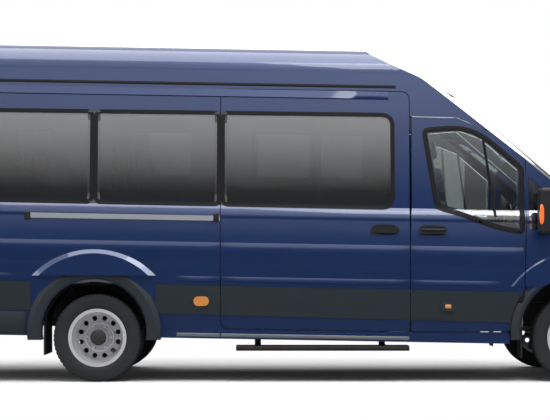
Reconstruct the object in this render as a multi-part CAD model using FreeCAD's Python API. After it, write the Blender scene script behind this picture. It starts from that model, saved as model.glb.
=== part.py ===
"""A long, high-roofed minibus on six wheels, twin wheels at the rear.

+X points to the front, +Y to the left and +Z up.
The origin is on the ground, at the middle of the length and width.
All sizes are millimetres. A side view is drawn in X and Z, a cross-section in Y and Z, a plan in X and Y.
"""
import FreeCAD
import Part
import math
import os

V = FreeCAD.Vector
ORIGIN = V(0, 0, 0)
X_AXIS = V(1, 0, 0)
Y_AXIS = V(0, 1, 0)
Z_AXIS = V(0, 0, 1)

# Overall sizes
LENGTH = 6704.0
WHEELBASE = 3750.0
FRONT_OVERHANG = 1023.0
HALF_WIDTH = 1029.0
ROOF_HEIGHT = 2700.0
RAKE_SLOPE = 0.0175
FRONT_X = LENGTH / 2
REAR_X = -LENGTH / 2
FRONT_AXLE_X = FRONT_X - FRONT_OVERHANG
REAR_AXLE_X = FRONT_AXLE_X - WHEELBASE
REACH = 4000.0

# Body shell
BODY_REAR_X = -3280.0
WALL = 60.0
PANEL_GAP = 6.0
SILL_Z = 330.0
SIDE_LOW = (985.0, 400.0)
SIDE_WIDEST = (1027.0, 820.0)
SIDE_TOP = (1008.0, 1270.0)
BELT = (974.0, 1374.0)
UPPER_MIDDLE = (935.0, 1900.0)
ROOF_SIDE = (866.0, 2440.0)
ROOF_CORNER = (800.0, 2580.0)
CROWN_EDGE = (640.0, 2640.0)
SHOULDER_BULGE = (1000.0, 1330.0)

# Nose, bonnet, windscreen and roof front, as distance from a vertical axis and height
NOSE_AXIS_X = -200.0
TRIM_OUT = 7.0
BUMPER_R = FRONT_X - NOSE_AXIS_X - TRIM_OUT
NOSE_PROFILE = [
    (3420.0, 250.0, 0),
    (BUMPER_R - 12.0, 330.0, 60),
    (BUMPER_R, 470.0, 60),
    (BUMPER_R, 610.0, 60),
    (3505.0, 905.0, 120),
    (3400.0, 1062.0, 160),
    (2842.0, 1300.0, 120),
    (1575.0, 2392.0, 400),
    (1010.0, 2690.0, 900),
    (0.0, 2760.0, 0),
]
SCREEN_FOOT = 6
NOSE_CORNER_R = 330.0
PLAN_TAPER_X = 2300.0
PLAN_FRONT_HALF = 985.0

# Body lines, as height at X = 0 and fall towards the front
BELT_LINE = (1378.0, 0.0200)
WINDOW_TOP_LINE = (2103.0, 0.0125)
GUTTER_LINE = (2330.0, 0.0150)
STRIP_TOP_LINE = (742.0, 0.0225)
STRIP_BOTTOM_LINE = (513.0, 0.0260)

# Side openings
SLIDING_REAR_X = -455.0
SLIDING_FRONT_X = 1020.0
DOOR_FRONT_X = 1926.0
DOOR_BOTTOM_LINE = (412.0, 0.0175)
DOOR_ARCH_R = 534.0
WINDOW_REAR_X = -2900.0
WINDOW_MIDDLE_X = -1450.0
WINDOW_FRONT_X = 890.0
WINDOW_CORNER_R = 85.0
WINDOW_GAP = 14.0
SEAL_GAP = 3.0
FRAME_LIP = 32.0
DOOR_TAPER = 14.0

# Rear doors
REAR_DOOR_BOTTOM_Z = 620.0
REAR_DOOR_TOP_Z = 2360.0
REAR_DOOR_EDGE_Y = 835.0
REAR_DOOR_GAP = 8.0
REAR_WINDOW_BOTTOM_Z = 1430.0
REAR_WINDOW_TOP_Z = 2150.0

# Front door hinges
HINGE_IN_Y = 997.0
HINGE_BACK = 52.0
HINGE_EDGE_R = 53.0
HINGE_PIN_R = 7.0
HINGE_HEIGHTS = (830.0, 1110.0)
PIN_CLEARANCE = 0.3
MOVING_GAP = 6.0

# Front panels
NOSE_WALL = 30.0
GLASS_IN = 1.0
GLASS_THICK = 8.0
TRIM_IN = 4.0
BONNET_HALF = 720.0
BONNET_REAR_R = 2895.0
COWL_GAP = 28.0
BONNET_HINGE = (2594.0, 1262.0)
BONNET_PIN_R = 3.5
BONNET_KNUCKLE_R = 7.0
BONNET_KNUCKLE_Y = (694.0, 713.0)
BONNET_LUG_WIDTH = 8.0
BONNET_FRONT_Z = 972.0
SCREEN_BOTTOM_Z = 1334.0
SCREEN_TOP_Z = 2255.0
SCREEN_BOTTOM_HALF = 870.0
SCREEN_TOP_HALF = 735.0
WING_TOP = [(1906.0, 1147.1), (2250.0, 1132.0), (2540.0, 1278.0), (2640.0, 1331.0)]
BUMPER_TOP_Z = 640.0
BUMPER_BOTTOM_Z = 262.0
FRONT_ARCH_END_X = 2800.0
LAMP_Y = (510.0, 930.0)
LAMP_Z = (716.0, 958.0)
GRILLE_HALF = 470.0
GRILLE_Z = (712.0, 940.0)

# Wheels and arches
TYRE_R = 344.0
TYRE_WIDTH = 196.0
RIM_R = 222.0
FRONT_TRACK_HALF = 870.0
TWIN_OUTER_Y = 888.0
TWIN_PITCH = 216.0
FRONT_ARCH = (FRONT_AXLE_X, 385.0)
REAR_ARCH = (REAR_AXLE_X - 22.0, 394.0)
FRONT_ARCH_R = 448.0
REAR_ARCH_R = 409.0
ARCH_TRIM_R = 521.0
FLARE_R = 640.0
FRONT_FLARE_Y = 1036.0
REAR_FLARE_Y = 1054.0
ARCH_TRIM_OUT = 8.0
FLARE_BOTTOM_LINE = (800.0, 0.0225)
KINGPIN_Y = 800.0

# Floor and frame
FLOOR_TOP = 690.0
FLOOR_THICK = 50.0
SILL_BOX_Z = 430.0
FIREWALL_X = 2440.0
FRONT_WHEEL_BOX = (1940.0, 2716.0)
FRONT_BOX_INNER_Y = 560.0
REAR_WHEEL_BOX = (-1850.0, -1010.0)
REAR_BOX_INNER_Y = 548.0
WHEEL_BOX_TOP = 770.0
RAIL_Y = 440.0
RAIL_WIDTH = 70.0
RAIL_Z = (470.0, 600.0)
BALL_HALF_SPAN = 105.0
ARM_ROOT_Y = 420.0
SUBFRAME_Z = (190.0, 250.0)
TOW_BAR_X = -3070.0
TOW_BAR_Z = 535.0
TOW_BOLT_PITCH = (120.0, 50.0)
TOW_BOLT_R = 6.5

# Wheel details
TYRE_BEAD = 136.0
TYRE_WAIST_R = 290.0
TREAD_WIDTH = 164.0
RIM_WIDTH = 160.0
HAND_HOLES = 12
HAND_HOLE_CIRCLE = 151.0
HAND_HOLE_R = 20.0
HUB_R = 67.0
HUB_RING_R = 112.0
HUB_BORE_R = 48.0

# Rear door hinges
REAR_HINGE_OUT = 14.0
REAR_HINGE_HEIGHTS = (800.0, 2240.0)

# Trim and lamps
TRIM_BOTTOM_Z = 330.0
MARKER_REAR_X = -606.0
MARKER_REAR_Z = 632.0
MARKER_FRONT_X = 1317.0
MARKER_FRONT_Z = 590.0
SLIDING_HANDLE_X = 826.0
DOOR_HANDLE_X = 1200.0
HANDLE_Z = 1186.0
HANDLE_OUT_Y = 1036.0
MARKER_OUT_Y = 1030.0
WIPER_PIVOT_Z = 1318.0
RAIL_OUT_Y = 1018.0
RAIL_REAR_X = -1950.0
DOOR_RAIL_LOW = (1250.0, 0.0175)
DOOR_RAIL_HIGH = (1290.0, 0.0175)
TAIL_LAMP_Y = 860.0
TAIL_LAMP_Z = (880.0, 1330.0)
MIRROR_X = 2066.0
MIRROR_OUT_Y = 1237.0
MIRROR_IN_Y = 1050.0
MIRROR_Z = (1150.0, 1508.0)
STEP_REAR_X = -335.0
STEP_FRONT_X = 1017.0
STEP_Z = 282.0
STEP_BRACKETS = (-171.0, 833.0)
REAR_FLAP_X = -1832.0
REAR_FLAP_Z = 211.0
FRONT_FLAP_X = 1894.0
FRONT_FLAP_Z = 190.0
FLAP_OUTER_TOP_Z = 470.0

# Seats and cab
SEAT_ROWS = (-2780.0, -2000.0, -1220.0, -440.0)
SEAT_PLACES = (640.0, 190.0, -640.0)
SEAT_WIDTH = 430.0
SEAT_DEPTH = 450.0
PASSENGER_CUSHION_Z = 1140.0
PASSENGER_BACK = 600.0
CAB_SEAT_X = 1330.0
CAB_SEAT_Y = 470.0
CAB_CUSHION_Z = 1150.0
CAB_BACK = 640.0
STEERING_WHEEL_X = 1990.0
STEERING_WHEEL_Z = 1290.0
STEERING_WHEEL_R = 200.0

nodes = {}
hulls = {}


def line_z(line, x):
    """Height at x of a body line that falls towards the front."""
    return line[0] - line[1] * x


def wire_of(points, place):
    """Closed wire through (u, v, radius) points, with an arc at each corner. place maps (u, v) to a point."""
    count = len(points)
    starts, ends, middles = [], [], []
    for i, point in enumerate(points):
        corner = V(point[0], point[1], 0)
        radius = point[2] if len(point) > 2 else 0
        if radius == 0:
            starts.append(corner)
            ends.append(corner)
            middles.append(None)
            continue
        before = V(points[i - 1][0], points[i - 1][1], 0) - corner
        after = V(points[(i + 1) % count][0], points[(i + 1) % count][1], 0) - corner
        before.normalize()
        after.normalize()
        half = math.acos(max(-1.0, min(1.0, before.dot(after)))) / 2
        run = radius / math.tan(half)
        bisector = (before + after).normalize()
        centre = corner + bisector * (radius / math.sin(half))
        starts.append(corner + before * run)
        ends.append(corner + after * run)
        middles.append(centre - bisector * radius)
    edges = []
    for i in range(count):
        if middles[i] is not None:
            arc = Part.Arc(place(starts[i]), place(middles[i]), place(ends[i]))
            edges.append(arc.toShape())
        here, there = place(ends[i]), place(starts[(i + 1) % count])
        if (there - here).Length > 1e-4:
            edges.append(Part.makeLine(here, there))
    return Part.Wire(edges)


def side_prism(points, y_low, y_high):
    """A side-view outline in X and Z, carried across from y_low to y_high."""
    wire = wire_of(points, lambda p: V(p.x, y_low, p.y))
    return Part.Face(wire).extrude(V(0, y_high - y_low, 0))


def end_prism(points, x_low, x_high):
    """A cross-section outline in Y and Z, carried along from x_low to x_high."""
    wire = wire_of(points, lambda p: V(x_low, p.x, p.y))
    return Part.Face(wire).extrude(V(x_high - x_low, 0, 0))


def plan_prism(points, z_low, z_high):
    """A plan outline in X and Y, carried up from z_low to z_high."""
    wire = wire_of(points, lambda p: V(p.x, p.y, z_low))
    return Part.Face(wire).extrude(V(0, 0, z_high - z_low))


def box(x, y, z):
    """A box between the two values of each pair."""
    return Part.makeBox(x[1] - x[0], y[1] - y[0], z[1] - z[0], V(x[0], y[0], z[0]))


def rod(start, end, radius):
    """A round bar from start to end."""
    return Part.makeCylinder(radius, (end - start).Length, start, end - start)


def across(x, z, radius, y_low, y_high):
    """A cylinder along Y."""
    return Part.makeCylinder(radius, y_high - y_low, V(x, y_low, z), Y_AXIS)


def turned(points, centre):
    """A solid of revolution about a line along Y through centre, from (y, radius) points."""
    wire = wire_of(points, lambda p: V(centre[0], p.x, centre[1] + p.y))
    return Part.Face(wire).revolve(V(centre[0], 0, centre[1]), Y_AXIS, 360)


def mirrored(shape):
    """The same shape on the other side of the vehicle."""
    return shape.mirror(ORIGIN, Y_AXIS)


def joined(shapes):
    """One solid from shapes that overlap or meet."""
    result = shapes[0]
    if len(shapes) > 1:
        result = shapes[0].multiFuse(shapes[1:])
    return result.removeSplitter()


def both(shape):
    """A compound of a shape and its mirror image."""
    return Part.makeCompound([shape, mirrored(shape)])


def add(name, shape):
    """Keeps a piece under its name, as one solid or a compound of solids."""
    solids = shape.Solids
    nodes[name] = solids[0] if len(solids) == 1 else Part.makeCompound(solids)
    return nodes[name]


def arc_edge(first, middle, last):
    """An arc in the cross-section plane through three (y, z) points."""
    return Part.Arc(V(0, *first), V(0, *middle), V(0, *last)).toShape()


def section_face(inset):
    """Cross-section of the body at X = 0, all its walls moved in by inset."""
    def right(point):
        return (-(point[0] - inset), point[1])

    def left(point):
        return (point[0] - inset, point[1])

    roof_z = ROOF_HEIGHT - inset
    corner = (ROOF_CORNER[0], ROOF_CORNER[1] - 0.7 * inset)
    crown = (CROWN_EDGE[0], CROWN_EDGE[1] - inset)
    low = (SIDE_LOW[0], SILL_Z)
    edges = []
    for side in (right, left):
        edges += [
            Part.makeLine(V(0, *side(low)), V(0, *side(SIDE_LOW))),
            arc_edge(side(SIDE_LOW), side(SIDE_WIDEST), side(SIDE_TOP)),
            arc_edge(side(SIDE_TOP), side(SHOULDER_BULGE), side(BELT)),
            arc_edge(side(BELT), side(UPPER_MIDDLE), side(ROOF_SIDE)),
            arc_edge(side(ROOF_SIDE), side(corner), side(crown)),
        ]
    edges.append(arc_edge(right(crown), (0, roof_z), left(crown)))
    edges.append(Part.makeLine(V(0, *right(low)), V(0, *left(low))))
    return Part.Face(Part.Wire(Part.__sortEdges__(edges)))


def hull(inset):
    """The closed outer form of the body, with every wall moved in by inset. Each form is made once."""
    if inset not in hulls:
        hulls[inset] = make_hull(inset)
    return hulls[inset]


def layer(tool, out, depth):
    """What lies inside a tool between two depths below the body's outer form, negative above it."""
    return tool.common(hull(out)).cut(hull(depth))


def make_hull(inset):
    """Cuts the form out of the raked cross-section, the plan outline and the revolved nose."""
    face = section_face(inset)
    face.translate(V(-REACH, 0, RAKE_SLOPE * REACH))
    block = face.extrude(V(2 * REACH, 0, -2 * REACH * RAKE_SLOPE))
    half = HALF_WIDTH + 20 - inset
    front_half = PLAN_FRONT_HALF - inset
    front = FRONT_X + 10 - inset
    plan = [
        (BODY_REAR_X + inset, -half, 0),
        (PLAN_TAPER_X, -half, 0),
        (front, -front_half, NOSE_CORNER_R),
        (front, front_half, NOSE_CORNER_R),
        (PLAN_TAPER_X, half, 0),
        (BODY_REAR_X + inset, half, 0),
    ]
    plan_block = plan_prism(plan, 0, 3000)
    profile = []
    for r, z, corner in NOSE_PROFILE[:-1]:
        profile.append((r - inset, z - (0 if z < 700 else 0.6 * inset), corner))
    profile += [(0, NOSE_PROFILE[-1][1] - inset, 0), (0, 0, 0), (profile[0][0], 0, 0)]
    wire = wire_of(profile, lambda p: V(NOSE_AXIS_X, -p.x, p.y))
    nose = Part.Face(wire).revolve(V(NOSE_AXIS_X, 0, 0), Z_AXIS, 180)
    front_part = nose.common(plan_block).common(block)
    rear_part = block.common(plan_block).common(box((-REACH, NOSE_AXIS_X), (-1500, 1500), (0, 3200)))
    return joined([front_part, rear_part])


def beside(points):
    """A plan outline on the right side, given as (x, |y|), carried over the whole height."""
    return plan_prism([(p[0], -p[1]) + tuple(p[2:]) for p in points], 0, 3300)


def line_band(x_low, x_high, low_line, high_line):
    """The stretch of the right side between two body lines and two upright planes."""
    outline = [
        (x_low, line_z(low_line, x_low)),
        (x_high, line_z(low_line, x_high)),
        (x_high, line_z(high_line, x_high)),
        (x_low, line_z(high_line, x_low)),
    ]
    return side_prism(outline, -1300, -300)


def flare(arch, out_y):
    """The pressed flare round a wheel arch on the right side, from inside the wall to its outer face."""
    inner_y = SIDE_WIDEST[0] - WALL / 2
    depth = out_y - inner_y
    centre = V(arch[0], -inner_y, arch[1])
    cone = Part.makeCone(FLARE_R + depth, FLARE_R - 0.5 * depth, depth, centre, -Y_AXIS)
    above = box((arch[0] - 900, arch[0] + 900), (-1300, 0), (line_z(FLARE_BOTTOM_LINE, arch[0]), 2000))
    return cone.common(above)


def side_outline(wire, distance):
    """A wire in side view moved inwards by a distance."""
    if distance == 0:
        return wire
    moved = [wire.makeOffset2D(distance), wire.makeOffset2D(-distance)]
    return min(moved, key=lambda w: w.Length)


def glazed(panel, points):
    """Cuts a window into a panel of the right side. Returns the panel and the pane in its rebate."""
    wire = wire_of(points, lambda p: V(p.x, -1300, p.y))
    prisms = []
    for distance in (0, SEAL_GAP, FRAME_LIP):
        outline = Part.Face(side_outline(wire, distance))
        prisms.append(outline.extrude(V(0, 900, 0)))
    rebate = prisms[0].cut(GLASS_BACK)
    pane = layer(prisms[1], GLASS_IN, GLASS_IN + GLASS_THICK)
    return panel.cut(rebate).cut(prisms[2]), pane


def side_window(x_low, x_high, rear_r, front_r):
    """Outline of one window of the side strip, between the belt line and the top line."""
    return [
        (x_low, line_z(BELT_LINE, x_low), rear_r),
        (x_high, line_z(BELT_LINE, x_high), front_r),
        (x_high, line_z(WINDOW_TOP_LINE, x_high), front_r),
        (x_low, line_z(WINDOW_TOP_LINE, x_low), rear_r),
    ]


RIGHT = box((-REACH, REACH), (-1400, 0), (0, 3300))
OUTER = hull(0)
INNER = hull(WALL)
NOSE_INNER = hull(NOSE_WALL)
GLASS_BACK = hull(GLASS_IN + GLASS_THICK)

flared = OUTER.multiFuse([flare(FRONT_ARCH, FRONT_FLARE_Y), flare(REAR_ARCH, REAR_FLARE_Y)])
side_shell = flared.common(RIGHT).cut(INNER)
nose_shell = flared.common(RIGHT).cut(NOSE_INNER)


def arch_tool(arch, radius):
    """The round opening of a wheel arch, through the right side."""
    low = Part.makeBox(2 * radius, 800, arch[1], V(arch[0] - radius, -1300, 0))
    return joined([across(arch[0], arch[1], radius, -1300, -500), low])


# Side walls
roof_front_x = 1290.0
gutter_rear = line_z(GUTTER_LINE, BODY_REAR_X - 50)
gutter_front = line_z(GUTTER_LINE, roof_front_x)
side_region = side_prism([
    (BODY_REAR_X - 50, SILL_Z - 10 + RAKE_SLOPE * 3300),
    (WING_TOP[0][0], SILL_Z - 10 - RAKE_SLOPE * DOOR_FRONT_X),
    WING_TOP[0],
    WING_TOP[1],
    WING_TOP[2],
    WING_TOP[3],
    (1500.0, SCREEN_TOP_Z),
    (1440.0, SCREEN_TOP_Z),
    (roof_front_x, gutter_front),
    (BODY_REAR_X - 50, gutter_rear),
], -1300, -300)
pillar_region = beside([
    (BODY_REAR_X - 50, 700),
    (1450, SCREEN_TOP_HALF + PANEL_GAP),
    (1450 + 1200, SCREEN_BOTTOM_HALF + PANEL_GAP),
    (1450 + 1200, 1200),
    (BODY_REAR_X - 50, 1200),
])
rear_opening = end_prism([
    (-REAR_DOOR_EDGE_Y - PANEL_GAP, REAR_DOOR_BOTTOM_Z - PANEL_GAP, 30),
    (REAR_DOOR_EDGE_Y + PANEL_GAP, REAR_DOOR_BOTTOM_Z - PANEL_GAP, 30),
    (REAR_DOOR_EDGE_Y + PANEL_GAP, REAR_DOOR_TOP_Z + PANEL_GAP, 30),
    (-REAR_DOOR_EDGE_Y - PANEL_GAP, REAR_DOOR_TOP_Z + PANEL_GAP, 30),
], BODY_REAR_X - 50, BODY_REAR_X + WALL + 5)
side_blank = side_shell.common(side_region).common(pillar_region)
side_blank = side_blank.cut(rear_opening).cut(arch_tool(REAR_ARCH, REAR_ARCH_R))
side_blank = side_blank.cut(arch_tool(FRONT_ARCH, ARCH_TRIM_R + PANEL_GAP))
swing_space = box((1785, DOOR_FRONT_X + PANEL_GAP), (-1100, -700), (380, 740))
side_blank = side_blank.cut(swing_space)


def door_plan(x_rear, x_front, taper_rear, taper_front):
    """Plan outline of a door slab on the right side, its gaps wider at the inside where it swings."""
    return beside([
        (x_rear, 1250),
        (x_front, 1250),
        (x_front, SIDE_WIDEST[0]),
        (x_front - taper_front, ROOF_SIDE[0] - WALL),
        (x_front - taper_front, 300),
        (x_rear + taper_rear, 300),
        (x_rear + taper_rear, SIDE_WIDEST[0] - WALL),
        (x_rear, SIDE_WIDEST[0]),
    ])


# Front door, drawn on the right side
HINGE_X = DOOR_FRONT_X - HINGE_BACK
door_rear_x = SLIDING_FRONT_X + PANEL_GAP
door_top = [
    (door_rear_x, 2076.0, 40),
    (1400.0, 2066.0, 160),
    (1650.0, 1958.0, 120),
    (DOOR_FRONT_X, 1742.0),
]


def front_door_outline(gap):
    """Side view of the front door, or of its opening when gap is above zero."""
    arch_r = DOOR_ARCH_R - gap
    top_z = 1010.0
    low_z = line_z(DOOR_BOTTOM_LINE, door_rear_x) - gap
    front_x = DOOR_FRONT_X + gap
    arch_start_z = FRONT_ARCH[1] + math.sqrt(arch_r ** 2 - (front_x - FRONT_ARCH[0]) ** 2)
    arch_end_x = FRONT_ARCH[0] - math.sqrt(arch_r ** 2 - (low_z - FRONT_ARCH[1]) ** 2)
    middle_angle = math.radians(157)
    middle_x = FRONT_ARCH[0] + arch_r * math.cos(middle_angle)
    middle_z = FRONT_ARCH[1] + arch_r * math.sin(middle_angle)
    arch_arc = Part.Arc(
        V(front_x, -1300, arch_start_z),
        V(middle_x, -1300, middle_z),
        V(arch_end_x, -1300, low_z),
    )
    edges = [arch_arc.toShape()]
    chain = [(arch_end_x, low_z), (door_rear_x - gap, low_z), (door_rear_x - gap, door_top[0][1] + gap)]
    chain += [(x, z + gap) for x, z in (door_top[1][:2], door_top[2][:2])]
    chain += [(front_x, door_top[3][1] + gap), (front_x, arch_start_z)]
    edges += [Part.makeLine(V(a[0], -1300, a[1]), V(b[0], -1300, b[1])) for a, b in zip(chain, chain[1:])]
    return Part.Face(Part.Wire(edges)).extrude(V(0, 1000, 0))


def hinge_edge(x_limit, radius):
    """Space behind a front door's shut line: inboard of the hinge line, or within a round edge about it."""
    inside = box((door_rear_x - 400, x_limit), (-HINGE_IN_Y, 0), (0, 3300))
    behind = box((door_rear_x - 400, HINGE_X), (-1300, -HINGE_IN_Y + 1), (0, 3300))
    round_edge = Part.makeCylinder(radius, 3300, V(HINGE_X, -HINGE_IN_Y, 0), Z_AXIS)
    return inside.multiFuse([behind, round_edge]).removeSplitter()


door_slab = side_shell.common(front_door_outline(0)).common(door_plan(door_rear_x, 2100, DOOR_TAPER, 0))
door_slab = door_slab.common(hinge_edge(DOOR_FRONT_X, HINGE_EDGE_R))
opening_edge = hinge_edge(DOOR_FRONT_X + PANEL_GAP, HINGE_EDGE_R + MOVING_GAP)
door_opening = front_door_outline(PANEL_GAP).common(opening_edge)
front_window = [
    (1138.0, 1972.0, 30),
    (1430.0, 1996.0, 120),
    (1600.0, 1928.0, 90),
    (1898.0, 1672.0, 12),
    (1898.0, 1172.0, 20),
    (1700.0, 1196.0, 200),
    (1440.0, 1312.0, 150),
    (1236.0, 1362.0, 60),
]
door_slab, door_pane = glazed(door_slab, front_window)

# Hinge arms of the front door: a pin in the door, and an arm to it from the pillar, behind the door's skin
hinge_cutters = []
hinge_arms = []
arm_y = (-(HINGE_IN_Y - 46), -(HINGE_IN_Y - 60))
post_x = DOOR_FRONT_X + 24
for height in HINGE_HEIGHTS:
    pin = Part.makeCylinder(HINGE_PIN_R, 110, V(HINGE_X, -HINGE_IN_Y, height - 55), Z_AXIS)
    arm_z = (height - 18, height + 18)
    reach = box((HINGE_X - HINGE_PIN_R, HINGE_X + HINGE_PIN_R), (-HINGE_IN_Y, arm_y[1]), arm_z)
    arm = box((HINGE_X - HINGE_PIN_R, post_x + 10), arm_y, arm_z)
    hinge_arms += [pin, reach, arm]
    bore = Part.makeCylinder(HINGE_PIN_R + PIN_CLEARANCE, 112, V(HINGE_X, -HINGE_IN_Y, height - 56), Z_AXIS)
    pocket = box((HINGE_X - 16, DOOR_FRONT_X + 60), (-HINGE_IN_Y - 9, 0), (height - 26, height + 26))
    hinge_cutters += [bore, pocket]
door_slab = door_slab.cut(Part.makeCompound(hinge_cutters))
hinge_post = box((post_x, post_x + 60), (-960, -900), (WHEEL_BOX_TOP, 1176))

# Sliding door of the right side
sliding_top = (GUTTER_LINE[0] - 40, GUTTER_LINE[1])


def sliding_outline(gap):
    """Side view of the sliding door, or of its opening when gap is above zero."""
    low, high = SLIDING_REAR_X - gap, SLIDING_FRONT_X + gap
    corner = 60 + gap
    return side_prism([
        (low, line_z(DOOR_BOTTOM_LINE, low) - gap, corner),
        (high, line_z(DOOR_BOTTOM_LINE, high) - gap, 12),
        (high, line_z(sliding_top, high) + gap, corner),
        (low, line_z(sliding_top, low) + gap, corner),
    ], -1300, -300)


sliding_slab = side_shell.common(sliding_outline(0))
sliding_window = side_window(SLIDING_REAR_X + WINDOW_GAP, WINDOW_FRONT_X, 40, WINDOW_CORNER_R)
sliding_slab, sliding_pane = glazed(sliding_slab, sliding_window)

# Fixed windows of the side strip
rear_window = side_window(WINDOW_REAR_X, WINDOW_MIDDLE_X - WINDOW_GAP, WINDOW_CORNER_R, 40)
middle_window = side_window(WINDOW_MIDDLE_X + WINDOW_GAP, SLIDING_REAR_X - WINDOW_GAP, 40, 40)
front_quarter = [
    (1950.0, 1610.0, 12),
    (2110.0, 1470.0, 30),
    (2110.0, 1196.0, 40),
    (1950.0, 1190.0, 12),
]
b_pillar = end_prism([
    (-1300, 420),
    (-(SIDE_LOW[0] - WALL - 60), 420),
    (-(SIDE_LOW[0] - WALL - 60), BELT[1]),
    (-(ROOF_SIDE[0] - WALL - 50), 2310),
    (-1300, 2310),
], SLIDING_FRONT_X - 35, SLIDING_FRONT_X + 41)
b_pillar = b_pillar.common(hull(WALL + PANEL_GAP))

panel, rear_pane = glazed(side_blank, rear_window)
panel, middle_pane = glazed(panel, middle_window)
panel, quarter_pane = glazed(panel, front_quarter)
panel = panel.cut(door_opening)
right_panel = panel.cut(sliding_outline(PANEL_GAP))
left_panel, long_pane = glazed(panel, sliding_window)


def largest(shape):
    """The largest solid of a shape."""
    return max(shape.Solids, key=lambda solid: solid.Volume)


def whole(right_shape):
    """A shape of the right side joined to its mirror image across the middle plane."""
    return joined([right_shape, mirrored(right_shape)])


# Roof, over both sides
roof_region = side_prism([
    (BODY_REAR_X - 50, gutter_rear),
    (roof_front_x, gutter_front),
    (1440.0, SCREEN_TOP_Z),
    (1900.0, SCREEN_TOP_Z),
    (1900.0, 2900.0),
    (BODY_REAR_X - 50, 2900.0),
], -1300, 0)
roof_half = side_shell.common(roof_region).cut(rear_opening)
roof_panel = whole(largest(roof_half))

# Windscreen
screen_region = beside([
    (1300.0, 0),
    (1450.0, 0),
    (2800.0, 0),
    (2800.0, SCREEN_BOTTOM_HALF + 17),
    (1450.0, SCREEN_TOP_HALF),
    (1300.0, SCREEN_TOP_HALF - 18),
])
screen_band = box((1300, 2800), (-1300, 0), (SCREEN_BOTTOM_Z, SCREEN_TOP_Z - SEAL_GAP))
windscreen = whole(layer(screen_band.common(screen_region), GLASS_IN, GLASS_IN + GLASS_THICK))

# Bonnet, cowl, wings and front panel
bonnet_disc = Part.makeCylinder(BONNET_REAR_R, 3300, V(NOSE_AXIS_X, 0, 0), Z_AXIS)
cowl_disc = Part.makeCylinder(BONNET_REAR_R - COWL_GAP, 3300, V(NOSE_AXIS_X, 0, 0), Z_AXIS)
bonnet_box = box((2300, REACH), (-BONNET_HALF, 0), (BONNET_FRONT_Z, 1400))
bonnet_half = largest(nose_shell.common(bonnet_box).cut(bonnet_disc))
cowl_box = box((2300, REACH), (-BONNET_HALF - PANEL_GAP, 0), (1000, SCREEN_BOTTOM_Z - 4))
cowl_half = largest(nose_shell.common(cowl_box).common(cowl_disc))


def bonnet_tab(y, x_low, x_high):
    """A round-ended tab on the bonnet's hinge line on the right side, between two |y| values."""
    eye = across(BONNET_HINGE[0], BONNET_HINGE[1], BONNET_KNUCKLE_R, -y[1], -y[0])
    leaf_z = (BONNET_HINGE[1] - BONNET_KNUCKLE_R, BONNET_HINGE[1] + BONNET_KNUCKLE_R)
    leaf = box((x_low, x_high), (-y[1], -y[0]), leaf_z)
    return joined([eye, leaf])


lug_inner = (BONNET_KNUCKLE_Y[0] - 1 - BONNET_LUG_WIDTH, BONNET_KNUCKLE_Y[0] - 1)
lug_outer = (BONNET_KNUCKLE_Y[1] + 1, BONNET_KNUCKLE_Y[1] + 1 + BONNET_LUG_WIDTH)
bonnet_pin = across(BONNET_HINGE[0], BONNET_HINGE[1], BONNET_PIN_R, -lug_outer[1], -lug_inner[0])
bonnet_lugs = [bonnet_tab(y, BONNET_HINGE[0] - 24, BONNET_HINGE[0]) for y in (lug_inner, lug_outer)]
bonnet_bore = across(BONNET_HINGE[0], BONNET_HINGE[1], BONNET_PIN_R + PIN_CLEARANCE, -800, -600)
bonnet_knuckle = bonnet_tab(BONNET_KNUCKLE_Y, BONNET_HINGE[0], BONNET_HINGE[0] + 24).cut(bonnet_bore)
bonnet = whole(joined([bonnet_half, bonnet_knuckle]))
cowl = whole(joined([cowl_half, bonnet_pin] + bonnet_lugs))
wing_prism = side_prism([
    (WING_TOP[0][0], SILL_Z - 10 - RAKE_SLOPE * DOOR_FRONT_X),
    (FRONT_X + 100, SILL_Z - 70),
    (FRONT_X + 100, SCREEN_BOTTOM_Z - 4),
    WING_TOP[3],
    WING_TOP[2],
    WING_TOP[1],
    WING_TOP[0],
], -1300, -BONNET_HALF - MOVING_GAP)
bumper_region = box((FRONT_ARCH_END_X, REACH), (-1300, 0), (0, BUMPER_TOP_Z))
lamp_prism = box((2600, REACH), (-LAMP_Y[1], -LAMP_Y[0]), LAMP_Z)
lamp_prism = lamp_prism.makeFillet(45, [e for e in lamp_prism.Edges if abs(e.tangentAt(0).x) > 0.9])
wing = nose_shell.common(wing_prism).cut(arch_tool(FRONT_ARCH, FRONT_ARCH_R))
wing = wing.cut(bumper_region).cut(door_opening)
wing = largest(wing.cut(lamp_prism).cut(swing_space))
front_box_y = (-BONNET_HALF - MOVING_GAP, 0)
front_panel = nose_shell.common(box((2600, REACH), front_box_y, (BUMPER_TOP_Z, BONNET_FRONT_Z - 8)))
grille_hole = box((2900, REACH), (-GRILLE_HALF, 0), GRILLE_Z)
front_panel = whole(largest(front_panel.cut(lamp_prism).cut(grille_hole)))
lamp_gap = 3.0
lamp_body_y = (-LAMP_Y[1] + lamp_gap, -LAMP_Y[0] - lamp_gap)
lamp_body = box((2600, REACH), lamp_body_y, (LAMP_Z[0] + lamp_gap, LAMP_Z[1] - lamp_gap))
lamp_body = lamp_body.makeFillet(42, [e for e in lamp_body.Edges if abs(e.tangentAt(0).x) > 0.9])
headlamp = largest(layer(lamp_body, GLASS_IN, WALL))

# Grille: a frame in the front panel and bars across it
grille_frame = layer(grille_hole, GLASS_IN, NOSE_WALL)
opening_count = 4
bar_height = 16.0
pitch = (GRILLE_Z[1] - GRILLE_Z[0] - bar_height) / opening_count
slots = []
for i in range(opening_count):
    low = GRILLE_Z[0] + bar_height + i * pitch
    slots.append(box((2900, REACH), (-GRILLE_HALF + 24, -8), (low, low + pitch - bar_height)))
grille = whole(largest(grille_frame.cut(Part.makeCompound(slots))))

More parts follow.
